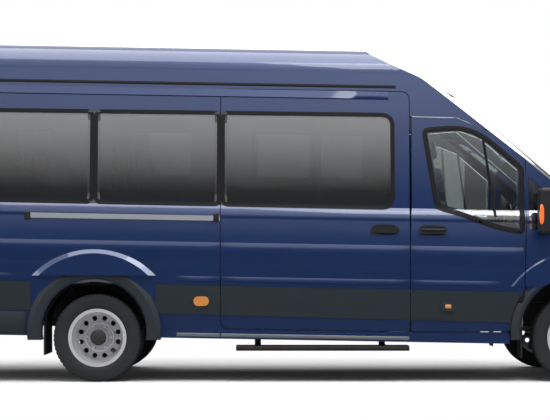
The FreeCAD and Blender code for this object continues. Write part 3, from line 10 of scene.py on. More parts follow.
import bmesh
import bpy
import numpy as np
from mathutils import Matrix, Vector


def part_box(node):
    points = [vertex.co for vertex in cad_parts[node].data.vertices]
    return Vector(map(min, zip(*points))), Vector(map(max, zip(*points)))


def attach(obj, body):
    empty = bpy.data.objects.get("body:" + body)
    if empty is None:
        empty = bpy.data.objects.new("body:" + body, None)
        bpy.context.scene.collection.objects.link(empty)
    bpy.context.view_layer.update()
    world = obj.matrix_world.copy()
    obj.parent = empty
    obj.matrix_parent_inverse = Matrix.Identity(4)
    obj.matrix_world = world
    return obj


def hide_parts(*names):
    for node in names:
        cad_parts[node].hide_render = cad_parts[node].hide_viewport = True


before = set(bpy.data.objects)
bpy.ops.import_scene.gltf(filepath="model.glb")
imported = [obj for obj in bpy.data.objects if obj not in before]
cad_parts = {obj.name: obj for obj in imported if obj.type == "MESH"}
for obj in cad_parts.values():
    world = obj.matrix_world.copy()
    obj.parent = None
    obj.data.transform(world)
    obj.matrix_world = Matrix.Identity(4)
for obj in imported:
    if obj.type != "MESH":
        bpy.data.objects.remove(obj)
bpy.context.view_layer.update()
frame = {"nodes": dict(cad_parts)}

LOG = logging.getLogger("minibus")
IMAGE_SIZE = (550, 420)
SIDES = {"right": -1.0, "left": 1.0}

# Lengths for meshes, and the share of its own length that an upright path rises
MERGE_DISTANCE = 2e-6
TINY = 1e-6
STEEP = 0.8

# Depth of a bump, scales of the soft noises, and what full dust does to colour and roughness
BUMP_DISTANCE = 0.001
BROAD_NOISE = 3.0
DUST_NOISE = 5.0
DUST_ROUGHNESS = 0.4
DUST_COLOUR = (0.28, 0.25, 0.21, 1)

# Short names for Blender's types
Tree = bpy.types.NodeTree
Socket = bpy.types.NodeSocket
Material = bpy.types.Material


# Surfaces


@dataclass
class Shape:
    """A bare mesh: points and four-cornered faces, as whole arrays."""

    points: np.ndarray
    faces: np.ndarray

    def moved(self, x: float = 0.0, y: float = 0.0, z: float = 0.0) -> "Shape":
        """The same shape, shifted."""
        return Shape(self.points + np.array([x, y, z]), self.faces)

    def other_side(self) -> "Shape":
        """The same shape mirrored to the vehicle's other side, with its faces turned to stay outward."""
        return Shape(self.points * np.array([1.0, -1.0, 1.0]), self.faces[:, ::-1])

    def on(self, side: float) -> "Shape":
        """A shape drawn on the right side, put on the side with this sign of Y."""
        return self if side < 0 else self.other_side()


def together(shapes: list[Shape]) -> Shape:
    """Several shapes as one.

    Args:
        shapes: The shapes, in any order.

    Returns:
        One shape that holds all their points and faces.
    """
    starts = np.cumsum([0] + [len(s.points) for s in shapes[:-1]])
    points = np.concatenate([s.points for s in shapes])
    faces = np.concatenate([s.faces + start for s, start in zip(shapes, starts)])
    return Shape(points, faces)


def grid(points: np.ndarray, wrap_u: bool = False, wrap_v: bool = False) -> Shape:
    """A grid of points as quads: face (i, j) joins points (i, j), (i + 1, j), (i + 1, j + 1) and (i, j + 1).

    Args:
        points: Array of shape (rows, columns, 3).
        wrap_u: Whether the last row joins the first.
        wrap_v: Whether the last column joins the first.

    Returns:
        The grid's shape.
    """
    rows, columns = points.shape[:2]
    index = np.arange(rows * columns).reshape(rows, columns)
    if wrap_u:
        index = np.concatenate([index, index[:1]], axis=0)
    if wrap_v:
        index = np.concatenate([index, index[:, :1]], axis=1)
    corners = [index[:-1, :-1], index[1:, :-1], index[1:, 1:], index[:-1, 1:]]
    return Shape(points.reshape(-1, 3), np.stack(corners, axis=-1).reshape(-1, 4))


def shell(front: np.ndarray, back: np.ndarray) -> Shape:
    """A closed sheet between two grids: front and back in one loop round each row, its end rows bridged.

    Args:
        front: Outer grid, (rows, columns, 3).
        back: Inner grid of the same size.

    Returns:
        The closed shape.
    """
    loop = np.concatenate([front, back[:, ::-1]], axis=1)
    parts = [grid(loop, wrap_v=True)]
    for row in (0, -1):
        parts.append(grid(np.stack([front[row], back[row]])))
    return together(parts)


def swept(path: np.ndarray, profile: np.ndarray, closed: bool = False, up: tuple = (0.0, 0.0, 1.0)) -> Shape:
    """A closed outline carried along a path: point = path + a * side + b * raised, side = tangent cross up.

    Args:
        path: Points along the path, (n, 3).
        profile: The outline, (m, 2), as distances to the side and upwards.
        closed: Whether the path is a loop.
        up: Direction that the outline's second axis leans towards.

    Returns:
        The swept shape, with its ends closed.
    """
    if closed:
        ahead = np.roll(path, -1, axis=0) - np.roll(path, 1, axis=0)
    else:
        ahead = np.gradient(path, axis=0)
    ahead = ahead / np.linalg.norm(ahead, axis=1, keepdims=True)
    side = np.cross(ahead, np.array(up))
    side = side / np.linalg.norm(side, axis=1, keepdims=True)
    raised = np.cross(side, ahead)
    points = path[:, None] + side[:, None] * profile[None, :, :1] + raised[:, None] * profile[None, :, 1:]
    if not closed:
        first = np.repeat(path[:1, None], len(profile), axis=1)
        last = np.repeat(path[-1:, None], len(profile), axis=1)
        points = np.concatenate([first, points, last])
    return grid(points, wrap_u=closed, wrap_v=True)


def circle(radius: float, count: int = 12) -> np.ndarray:
    """Points on a circle, as (cos, sin) times the radius."""
    angle = np.arange(count) * 2 * math.pi / count
    return radius * np.stack([np.cos(angle), np.sin(angle)], axis=-1)


def tube(path: list | np.ndarray, radius: float, count: int = 12, closed: bool = False) -> Shape:
    """A round bar along a path: a circle carried along it."""
    points = np.array(path, float)
    run = points[-1] - points[0]
    up = (1.0, 0.0, 0.0) if abs(run[2]) > STEEP * np.linalg.norm(run) else (0.0, 0.0, 1.0)
    return swept(points, circle(radius, count), closed, up)


def turned(profile: list | np.ndarray, centre: tuple, axis: int = 1, count: int = 64) -> Shape:
    """A solid of revolution: each (along, radius) point goes round a line through centre, along an axis.

    Args:
        profile: Points along the axis and away from it; its two ends lie on the axis, or it is a ring's loop.
        centre: A point on the axis.
        axis: 0 for X, 1 for Y, 2 for Z.
        count: Steps round the circle.

    Returns:
        The turned shape.
    """
    profile = np.array(profile, float)
    angle = np.arange(count) * 2 * math.pi / count
    others = [k for k in range(3) if k != axis]
    points = np.zeros((count, len(profile), 3))
    points[..., axis] = profile[None, :, 0]
    points[..., others[0]] = np.cos(angle)[:, None] * profile[None, :, 1]
    points[..., others[1]] = np.sin(angle)[:, None] * profile[None, :, 1]
    ring = profile[0, 1] > TINY or profile[-1, 1] > TINY
    return grid(points + np.array(centre), wrap_u=True, wrap_v=ring)


def pebble(low: tuple, high: tuple, power: float = 0.25, count: tuple = (32, 18)) -> Shape:
    """A box with soft edges: the superellipsoid whose cosines and sines are raised to a small power.

    Args:
        low: Lowest corner.
        high: Highest corner.
        power: 1 for an ellipsoid, towards 0 for a sharp box.
        count: Steps round and steps from pole to pole.

    Returns:
        The closed shape.
    """
    turn = np.arange(count[0]) * 2 * math.pi / count[0] + math.pi / count[0]
    rise = np.linspace(-math.pi / 2, math.pi / 2, count[1])

    def raised(value: np.ndarray) -> np.ndarray:
        """The signed power of an array."""
        return np.sign(value) * np.abs(value) ** power

    x = raised(np.cos(turn))[:, None] * raised(np.cos(rise))[None]
    y = raised(np.sin(turn))[:, None] * raised(np.cos(rise))[None]
    z = np.repeat(raised(np.sin(rise))[None], count[0], axis=0)
    middle, half = (np.array(low) + np.array(high)) / 2, (np.array(high) - np.array(low)) / 2
    return grid(np.stack([x, y, z], axis=-1) * half + middle, wrap_u=True)


def rounded_loop(corners: list, step: int = 6) -> np.ndarray:
    """A closed outline with an arc at each corner: a quadratic curve between points a set distance away.

    Args:
        corners: (u, v, distance) for each corner, in order.
        step: Points on each arc.

    Returns:
        Points of the outline, (n, 2).
    """
    points = np.array([(c[0], c[1]) for c in corners], float)
    before = np.roll(points, 1, axis=0) - points
    after = np.roll(points, -1, axis=0) - points
    run = np.array([c[2] for c in corners], float)[:, None]
    start = points + before / np.linalg.norm(before, axis=1, keepdims=True) * run
    end = points + after / np.linalg.norm(after, axis=1, keepdims=True) * run
    t = np.linspace(0, 1, step)[None, :, None]
    arcs = (1 - t) ** 2 * start[:, None] + 2 * t * (1 - t) * points[:, None] + t ** 2 * end[:, None]
    return arcs.reshape(-1, 2)


def refined(loop: np.ndarray, spacing: float) -> np.ndarray:
    """A closed outline with points put in at even steps, by linear interpolation along its length."""
    closed = np.concatenate([loop, loop[:1]])
    run = np.concatenate([[0.0], np.cumsum(np.linalg.norm(np.diff(closed, axis=0), axis=1))])
    count = max(8, int(run[-1] / spacing))
    places = np.arange(count) * run[-1] / count
    return np.stack([np.interp(places, run, closed[:, k]) for k in range(closed.shape[1])], axis=-1)


def make_piece(
    name: str, shape: Shape, finish: Material, body: str, sharp: float = 38.0
) -> bpy.types.Object:
    """Puts a shape into the scene: doubles merged, normals outward, smooth but for its sharp edges.

    Args:
        name: The piece's name.
        shape: Its mesh.
        finish: Its material.
        body: The CAD body it rides on.
        sharp: Angle in degrees above which an edge stays sharp.

    Returns:
        The new object.
    """
    mesh = bpy.data.meshes.new(name)
    mesh.from_pydata(shape.points.tolist(), [], shape.faces.tolist())
    work = bmesh.new()
    work.from_mesh(mesh)
    bmesh.ops.remove_doubles(work, verts=work.verts, dist=MERGE_DISTANCE)
    bmesh.ops.recalc_face_normals(work, faces=work.faces)
    work.to_mesh(mesh)
    work.free()
    mesh.shade_smooth()
    mesh.set_sharp_from_angle(angle=math.radians(sharp))
    mesh.materials.append(finish)
    piece = bpy.data.objects.new(name, mesh)
    bpy.context.scene.collection.objects.link(piece)
    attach(piece, body)
    LOG.info("%s: %d faces on %s", name, len(mesh.polygons), body)
    return piece


# Finishes


class Pattern(Enum):
    """What feeds a finish's bump and the mask between its two colours."""

    GRAIN = "fine grain"
    WEAVE = "woven cloth"


def new_group(name: str, inputs: list, outputs: list) -> tuple:
    """A shader node group with named float or colour sockets.

    Args:
        name: The group's name.
        inputs: (name, socket type, default) for each input.
        outputs: (name, socket type) for each output.

    Returns:
        The group, its input node and its output node.
    """
    group = bpy.data.node_groups.new(name, "ShaderNodeTree")
    for label, kind, default in inputs:
        socket = group.interface.new_socket(name=label, in_out="INPUT", socket_type=kind)
        socket.default_value = default
    for label, kind in outputs:
        group.interface.new_socket(name=label, in_out="OUTPUT", socket_type=kind)
    return group, group.nodes.new("NodeGroupInput"), group.nodes.new("NodeGroupOutput")


def feed(tree: Tree, value: object, socket: Socket) -> None:
    """Links an input to the socket given as its value, or sets it to a plain value."""
    if isinstance(value, Socket):
        tree.links.new(value, socket)
    else:
        socket.default_value = value


def maths(tree: Tree, operation: str, *values: object) -> Socket:
    """A Math node fed with sockets or numbers. Returns its output socket."""
    node = tree.nodes.new("ShaderNodeMath")
    node.operation = operation
    for i, value in enumerate(values):
        feed(tree, value, node.inputs[i])
    return node.outputs[0]


def clamped(tree: Tree, value: object, low: float, high: float) -> Socket:
    """A value kept between two limits, by a maximum and a minimum. Returns its socket."""
    return maths(tree, "MINIMUM", maths(tree, "MAXIMUM", value, low), high)


def noise(tree: Tree, vector: Socket, scale: object, detail: float) -> Socket:
    """A Noise Texture on a vector. Returns its value socket."""
    node = tree.nodes.new("ShaderNodeTexNoise")
    tree.links.new(vector, node.inputs["Vector"])
    feed(tree, scale, node.inputs["Scale"])
    node.inputs["Detail"].default_value = detail
    return node.outputs["Fac"]


def mixed(tree: Tree, amount: object, first: object, second: object) -> Socket:
    """A colour between two colours, by an amount. Returns its socket."""
    node = tree.nodes.new("ShaderNodeMix")
    node.data_type = "RGBA"
    for socket, value in ((node.inputs[0], amount), (node.inputs[6], first), (node.inputs[7], second)):
        feed(tree, value, socket)
    return node.outputs[2]


def coordinates(tree: Tree, kind: str) -> Socket:
    """A Texture Coordinate node's output of one kind."""
    return tree.nodes.new("ShaderNodeTexCoord").outputs[kind]


def axes(tree: Tree, vector: Socket) -> object:
    """The outputs X, Y and Z of a vector taken apart."""
    node = tree.nodes.new("ShaderNodeSeparateXYZ")
    tree.links.new(vector, node.inputs[0])
    return node.outputs


def bumped(tree: Tree, height: Socket, strength: Socket) -> Socket:
    """A Bump node over a short distance. Returns its normal socket."""
    bump = tree.nodes.new("ShaderNodeBump")
    bump.inputs["Distance"].default_value = BUMP_DISTANCE
    tree.links.new(strength, bump.inputs["Strength"])
    tree.links.new(height, bump.inputs["Height"])
    return bump.outputs["Normal"]


def dust_group() -> Tree:
    """Road dust near the ground: its mask is low height times soft noise times an amount."""
    group, source, sink = new_group(
        "road_dust",
        [("Colour", "NodeSocketColor", (0.5, 0.5, 0.5, 1)), ("Roughness", "NodeSocketFloat", 0.5),
         ("Top", "NodeSocketFloat", 0.7), ("Amount", "NodeSocketFloat", 0.3)],
        [("Colour", "NodeSocketColor"), ("Roughness", "NodeSocketFloat")],
    )
    place = coordinates(group, "Object")
    height = axes(group, place)["Z"]
    low = maths(group, "SUBTRACT", 1.0, maths(group, "DIVIDE", height, source.outputs["Top"]))
    low = maths(group, "MAXIMUM", low, 0.0)
    spots = noise(group, place, DUST_NOISE, 6.0)
    mask = maths(group, "MULTIPLY", maths(group, "MULTIPLY", low, spots), source.outputs["Amount"])
    dusty = mixed(group, mask, source.outputs["Colour"], DUST_COLOUR)
    group.links.new(dusty, sink.inputs["Colour"])
    rough = maths(group, "ADD", source.outputs["Roughness"], maths(group, "MULTIPLY", mask, DUST_ROUGHNESS))
    group.links.new(rough, sink.inputs["Roughness"])
    return group


def grain_group() -> Tree:
    """Fine grain: a bump from small noise, and roughness that varies a little over the surface."""
    group, source, sink = new_group(
        "fine_grain",
        [("Scale", "NodeSocketFloat", 400.0), ("Height", "NodeSocketFloat", 0.1),
         ("Roughness", "NodeSocketFloat", 0.5), ("Variation", "NodeSocketFloat", 0.1)],
        [("Normal", "NodeSocketVector"), ("Roughness", "NodeSocketFloat"), ("Mask", "NodeSocketFloat")],
    )
    place = coordinates(group, "Object")
    fine = noise(group, place, source.outputs["Scale"], 2.0)
    group.links.new(bumped(group, fine, source.outputs["Height"]), sink.inputs["Normal"])
    broad = noise(group, place, BROAD_NOISE, 4.0)
    change = maths(group, "MULTIPLY", maths(group, "SUBTRACT", broad, 0.5), source.outputs["Variation"])
    group.links.new(maths(group, "ADD", source.outputs["Roughness"], change), sink.inputs["Roughness"])
    group.links.new(broad, sink.inputs["Mask"])
    return group


def weave_group() -> Tree:
    """Woven cloth: two sine waves at right angles, multiplied, as height, and as a mask between two yarns."""
    group, source, sink = new_group(
        "weave",
        [("Scale", "NodeSocketFloat", 600.0), ("Height", "NodeSocketFloat", 0.4)],
        [("Normal", "NodeSocketVector"), ("Mask", "NodeSocketFloat")],
    )
    place = axes(group, coordinates(group, "Object"))
    along = maths(group, "ADD", place["X"], place["Z"])
    waves = [
        maths(group, "SINE", maths(group, "MULTIPLY", axis, source.outputs["Scale"]))
        for axis in (along, place["Y"])
    ]
    product = maths(group, "MULTIPLY", waves[0], waves[1])
    height = maths(group, "MULTIPLY", maths(group, "ADD", product, 1.0), 0.5)
    group.links.new(bumped(group, height, source.outputs["Height"]), sink.inputs["Normal"])
    group.links.new(height, sink.inputs["Mask"])
    return group


GROUPS = {"dust": dust_group(), "grain": grain_group(), "weave": weave_group()}


def placed(tree: Tree, group: str, values: dict) -> bpy.types.Node:
    """A group's node in a material, with the named inputs set to values."""
    node = tree.nodes.new("ShaderNodeGroup")
    node.node_tree = GROUPS[group]
    for label, value in values.items():
        node.inputs[label].default_value = value
    return node


@dataclass(frozen=True)
class Finish:
    """One finish: two colours, gloss, grain or weave, and how much road dust it takes."""

    name: str
    colour: tuple
    roughness: float = 0.5
    metallic: float = 0.0
    pattern: Pattern = Pattern.GRAIN
    scale: float = 500.0
    height: float = 0.1
    variation: float = 0.12
    second: tuple = (0.0, 0.0, 0.0)
    dust: float = 0.0
    dust_top: float = 0.8
    coat: float = 0.0
    coat_roughness: float = 0.05
    sheen: float = 0.0
    emission: float = 0.0
    specular: float = 0.5

    def made(self) -> Material:
        """Builds the material: grain or weave feeds normal and colour, and dust changes colour and gloss."""
        material = bpy.data.materials.new(self.name)
        material.use_nodes = True
        tree = material.node_tree
        shader = tree.nodes["Principled BSDF"]
        for label, value in (
            ("Metallic", self.metallic), ("Coat Roughness", self.coat_roughness), ("Coat Weight", self.coat),
            ("Sheen Weight", self.sheen), ("Specular IOR Level", self.specular),
        ):
            shader.inputs[label].default_value = value
        size = {"Scale": self.scale, "Height": self.height}
        grain = placed(tree, "grain", {**size, "Roughness": self.roughness, "Variation": self.variation})
        surface = placed(tree, "weave", size) if self.pattern is Pattern.WEAVE else grain
        tree.links.new(surface.outputs["Normal"], shader.inputs["Normal"])
        colour = mixed(tree, surface.outputs["Mask"], (*self.colour, 1.0), (*self.second, 1.0))
        dust = placed(tree, "dust", {"Top": self.dust_top, "Amount": self.dust})
        tree.links.new(colour, dust.inputs["Colour"])
        tree.links.new(grain.outputs["Roughness"], dust.inputs["Roughness"])
        tree.links.new(dust.outputs["Colour"], shader.inputs["Base Color"])
        tree.links.new(dust.outputs["Roughness"], shader.inputs["Roughness"])
        if self.emission > 0:
            tree.links.new(dust.outputs["Colour"], shader.inputs["Emission Color"])
            shader.inputs["Emission Strength"].default_value = self.emission
        return material


@dataclass(frozen=True)
class Glass:
    """Sheet glass or a clear lens: tint, gloss and how strongly its surface mirrors."""

    name: str
    tint: tuple
    roughness: float
    ior: float
    coat: float
    coat_ior: float
    ripple: float = 0.0
    ripple_scale: float = 60.0

    def made(self) -> Material:
        """Builds the material, with smudges in its roughness and a faint ripple as on rolled glass."""
        material = bpy.data.materials.new(self.name)
        material.use_nodes = True
        tree = material.node_tree
        shader = tree.nodes["Principled BSDF"]
        for label, value in (
            ("Base Color", (*self.tint, 1.0)), ("Transmission Weight", 1.0), ("IOR", self.ior),
            ("Coat Weight", self.coat), ("Coat IOR", self.coat_ior),
        ):
            shader.inputs[label].default_value = value
        grain = placed(tree, "grain", {
            "Scale": self.ripple_scale, "Height": self.ripple,
            "Roughness": self.roughness, "Variation": self.roughness,
        })
        tree.links.new(grain.outputs["Roughness"], shader.inputs["Roughness"])
        tree.links.new(grain.outputs["Normal"], shader.inputs["Normal"])
        return material


FINISHES = {
    item.name: item.made()
    for item in (
        Finish("blue_paint", (0.003, 0.024, 0.105), 0.34, 0.25, scale=900.0, height=0.015, variation=0.06,
               second=(0.002, 0.017, 0.082), dust=0.03, dust_top=0.55, coat=1.0, coat_roughness=0.04),
        Finish("grey_cladding", (0.016, 0.023, 0.030), 0.5, scale=900.0, height=0.35,
               second=(0.014, 0.020, 0.026), dust=0.04, specular=0.3),
        # A lighter grey copy of the cladding for the sill line: a painted highlight
        Finish("cladding_painted_highlight", (0.12, 0.135, 0.15), 0.42, scale=900.0, height=0.25,
               second=(0.09, 0.1, 0.115)),
        Finish("black_plastic", (0.012, 0.012, 0.014), 0.5, scale=700.0, height=0.3,
               second=(0.016, 0.016, 0.018), dust=0.03, specular=0.25),
        Finish("seal_rubber", (0.008, 0.008, 0.009), 0.6, height=0.15, second=(0.012, 0.012, 0.013),
               specular=0.12),
        Finish("tyre_rubber", (0.013, 0.016, 0.019), 0.72, scale=350.0, height=0.25,
               second=(0.020, 0.024, 0.027), dust=0.05, dust_top=0.7, specular=0.2),
        Finish("wheel_silver", (0.58, 0.58, 0.61), 0.40, 0.25, scale=900.0, height=0.05,
               second=(0.44, 0.44, 0.47), dust=0.12, dust_top=0.6, coat=0.3),
        # Bright metal for the wheel nuts, and a painted highlight on the rear wheels' ring
        Finish("bright_metal_and_highlight", (0.80, 0.80, 0.83), 0.30, 0.45, scale=700.0, height=0.04,
               second=(0.7, 0.7, 0.73), coat=0.3),
        Finish("hub_dark", (0.03, 0.03, 0.034), 0.5, 0.3, scale=300.0, height=0.3,
               second=(0.05, 0.045, 0.042)),
        Finish("rail_aluminium", (0.42, 0.44, 0.48), 0.38, 0.5, scale=700.0, height=0.06, variation=0.1,
               second=(0.33, 0.35, 0.39)),
        Finish("grey_interior", (0.10, 0.11, 0.12), 0.6, scale=650.0, height=0.35, second=(0.13, 0.14, 0.15)),
        Finish("dark_interior", (0.03, 0.033, 0.038), 0.62, scale=650.0, height=0.35,
               second=(0.045, 0.048, 0.053)),
        Finish("floor_cover", (0.09, 0.095, 0.10), 0.7, scale=420.0, height=0.5, second=(0.16, 0.165, 0.17)),
        Finish("seat_cloth", (0.035, 0.045, 0.07), 0.9, pattern=Pattern.WEAVE, scale=1500.0, height=0.5,
               variation=0.05, second=(0.07, 0.085, 0.12), sheen=0.4),
        Finish("seat_side_cloth", (0.025, 0.027, 0.032), 0.9, pattern=Pattern.WEAVE, scale=1800.0, height=0.5,
               variation=0.05, second=(0.05, 0.052, 0.06), sheen=0.4),
        Finish("black_steel", (0.018, 0.018, 0.020), 0.55, 0.2, scale=120.0, height=0.25, variation=0.15,
               second=(0.022, 0.021, 0.020), dust=0.04, dust_top=1.0, specular=0.15),
        Finish("cast_metal", (0.12, 0.12, 0.125), 0.6, 0.6, scale=200.0, height=0.6, variation=0.15,
               second=(0.08, 0.075, 0.07), dust=0.15, dust_top=1.0),
        Finish("exhaust_metal", (0.28, 0.25, 0.22), 0.5, 0.8, scale=150.0, height=0.3, variation=0.2,
               second=(0.16, 0.10, 0.06), dust=0.2),
        Finish("lamp_orange", (0.85, 0.10, 0.008), 0.25, height=0.3, second=(0.95, 0.16, 0.015), coat=1.0,
               emission=0.35),
        Finish("lamp_amber", (0.62, 0.25, 0.06), 0.25, height=0.3, second=(0.45, 0.16, 0.03), coat=1.0),
        Finish("lamp_red", (0.42, 0.006, 0.006), 0.2, scale=450.0, height=0.4, second=(0.30, 0.004, 0.004),
               coat=1.0),
        Finish("reflector_chrome", (0.85, 0.86, 0.88), 0.12, 1.0, scale=300.0, height=0.05,
               second=(0.8, 0.81, 0.83)),
        Finish("blank_plate", (0.75, 0.75, 0.73), 0.5, scale=400.0, height=0.05, second=(0.7, 0.7, 0.68)),
        Finish("frit_black", (0.004, 0.004, 0.005), 0.12, scale=300.0, height=0.01,
               second=(0.005, 0.005, 0.006), coat=1.0),
        Glass("side_glass", (0.33, 0.35, 0.38), roughness=0.012, ior=1.42, coat=1.0, coat_ior=2.6),
        Glass("cab_glass", (0.93, 1.0, 0.99), roughness=0.01, ior=1.45, coat=0.6, coat_ior=1.7),
        Glass("lens_clear", (0.95, 0.96, 0.97), roughness=0.02, ior=1.5, coat=0.5, coat_ior=1.6,
              ripple=0.3, ripple_scale=45.0),
    )
}


# Body form


@dataclass
class BodyForm:
    """The form of the body sides, as arcs between heights, and the sheet pieces that lie on it."""

    rake: float = 0.0175
    root: float = 0.0012
    feather: float = 0.0002
    arcs: tuple = (
        ((0.985, 0.400), (1.027, 0.820), (1.008, 1.270)),
        ((1.008, 1.270), (1.000, 1.330), (0.974, 1.374)),
        ((0.974, 1.374), (0.935, 1.900), (0.866, 2.440)),
        ((0.866, 2.440), (0.800, 2.580), (0.640, 2.640)),
    )
    ring_edge: float = 0.5
    ring_flat: float = 0.35
    ring_step: float = 0.6

    def half_width(self, level: np.ndarray) -> np.ndarray:
        """Half the body's width at a level, height plus rake times x. Each arc is a circle by three points.

        Args:
            level: Levels above the ground at x = 0.

        Returns:
            Half widths, the same shape as level.
        """
        result = np.full(np.shape(level), self.arcs[0][0][0])
        for first, middle, last in self.arcs:
            a, b, c = (np.array(point) for point in (first, middle, last))
            matrix = 2 * np.array([b - a, c - a])
            centre = np.linalg.solve(matrix, np.array([b @ b - a @ a, c @ c - a @ a]))
            radius = np.linalg.norm(a - centre)
            inside = (level >= first[1]) & (level <= last[1] + TINY)
            reach = np.sqrt(np.maximum(radius**2 - (level - centre[1]) ** 2, 0.0))
            result = np.where(inside, centre[0] + reach * np.sign(b[0] - centre[0]), result)
        return result

    def place(self, x: np.ndarray, level: np.ndarray, out: np.ndarray | float) -> np.ndarray:
        """Points on the right side, moved out from the body: (x, -(half width + out), level - rake x)."""
        return np.stack([x, -(self.half_width(level) + out), level - self.rake * x], axis=-1)

    def band(self, x_ends: tuple, section: tuple, ends: float = 0.02, fine: float = 0.06) -> Shape:
        """A pressed band along the side: its rise follows the levels and fades at both its ends.

        Args:
            x_ends: Rear and front end.
            section: Levels of its cross-section, from low to high, and how far it stands out at each.
            ends: Length over which each end fades to nothing.
            fine: Spacing of the grid along x.

        Returns:
            A closed strip whose back lies just inside the body's wall.
        """
        levels, rises = section
        length = x_ends[1] - x_ends[0]
        count = max(int(length / fine), 3)
        along = np.concatenate([[0.0], np.linspace(ends, length - ends, count), [length]])
        x, level = np.meshgrid(x_ends[0] + along, np.array(levels), indexing="ij")
        fade = np.clip(np.minimum(along, along[-1] - along) / ends, 0.0, 1.0)[:, None]
        front = self.place(x, level, np.array(rises)[None, :] * fade + self.feather * (1 - fade))
        return shell(front, self.place(x, level, -self.root))

    def ring(self, loop: np.ndarray, width: float, out: float, fine: float = 0.03) -> Shape:
        """A flat frame along a closed loop of (x, height) points, on the side's surface.

        Args:
            loop: Corners, already rounded, as an array of (x, height).
            width: Width of the frame, half of it on each side of the loop.
            out: How far its face stands out from the body.
            fine: Spacing of points along the loop.

        Returns:
            A closed ring whose section is a flat face with a bevel on each side.
        """
        line = refined(loop, fine)
        step = np.roll(line, -1, axis=0) - np.roll(line, 1, axis=0)
        normal = np.stack([step[:, 1], -step[:, 0]], axis=-1) / np.linalg.norm(step, axis=1)[:, None]
        edge, flat, low = self.ring_edge, self.ring_flat, out * self.ring_step
        half = [(-edge, -self.root), (-edge, low), (-flat, out)]
        section = half + [(-share, height) for share, height in reversed(half)]
        rows = []
        for share, height in section:
            spot = line + normal * share * width
            rows.append(self.place(spot[:, 0], spot[:, 1] + self.rake * spot[:, 0], height))
        return grid(np.stack(rows, axis=1), wrap_u=True, wrap_v=True)


FORM = BodyForm()


# Finishes of the parts that keep their own shape


@dataclass
class Coachwork:
    """Finishes for every part whose shape is right as it stands."""

    plain: str = "black_plastic"
    parts: dict = field(default_factory=lambda: {
        "blue_paint": (
            "roof_panel", "side_panel_right", "side_panel_left", "front_panel", "bonnet", "sliding_door",
            "front_door_right", "front_door_left", "rear_door_right", "rear_door_left", "wing_right",
            "wing_left",
        ),
        "cab_glass": ("windscreen", "front_door_window_right", "front_door_window_left"),
        "side_glass": ("side_windows", "rear_door_window_right", "rear_door_window_left"),
        "grey_cladding": (
            "front_bumper", "rear_bumper", "arch_trims", "rub_strips", "front_door_trim_right",
            "front_door_trim_left",
        ),
        "black_plastic": (
            "cowl", "mud_flaps", "sliding_door_handle", "mirrors", "grille", "wipers", "fuel_tank",
        ),
        "black_steel": (
            "side_step", "chassis_frame", "suspension_arms", "rear_springs", "propeller_shaft", "radiator",
        ),
        "cast_metal": ("rear_axle", "engine", "knuckle_right", "knuckle_left"),
        "exhaust_metal": ("exhaust",),
        "rail_aluminium": ("door_rail",),
        "lens_clear": ("headlamps",),
        "lamp_red": ("tail_lamps",),
        "lamp_amber": ("side_markers",),
        "floor_cover": ("floor_pan",),
        "dark_interior": ("dashboard", "steering_wheel"),
        "seat_side_cloth": ("passenger_seats", "cab_seats"),
        "wheel_silver": ("front_rim_right", "front_rim_left", "rear_rims_right", "rear_rims_left"),
        "tyre_rubber": ("front_tyre_right", "front_tyre_left", "rear_tyres_right", "rear_tyres_left"),
    })

    def dress(self, nodes: dict) -> None:
        """Gives each part its finish, in every material slot that it has.

        Args:
            nodes: The frame's parts by name.
        """
        finishes = {part: finish for finish, parts in self.parts.items() for part in parts}
        for name, part in nodes.items():
            finish = FINISHES[finishes.get(name, self.plain)]
            if not part.material_slots:
                part.data.materials.append(finish)
            for slot in part.material_slots:
                slot.material = finish
            LOG.info("%s dressed in %s", name, finish.name)


# Light, floor and camera


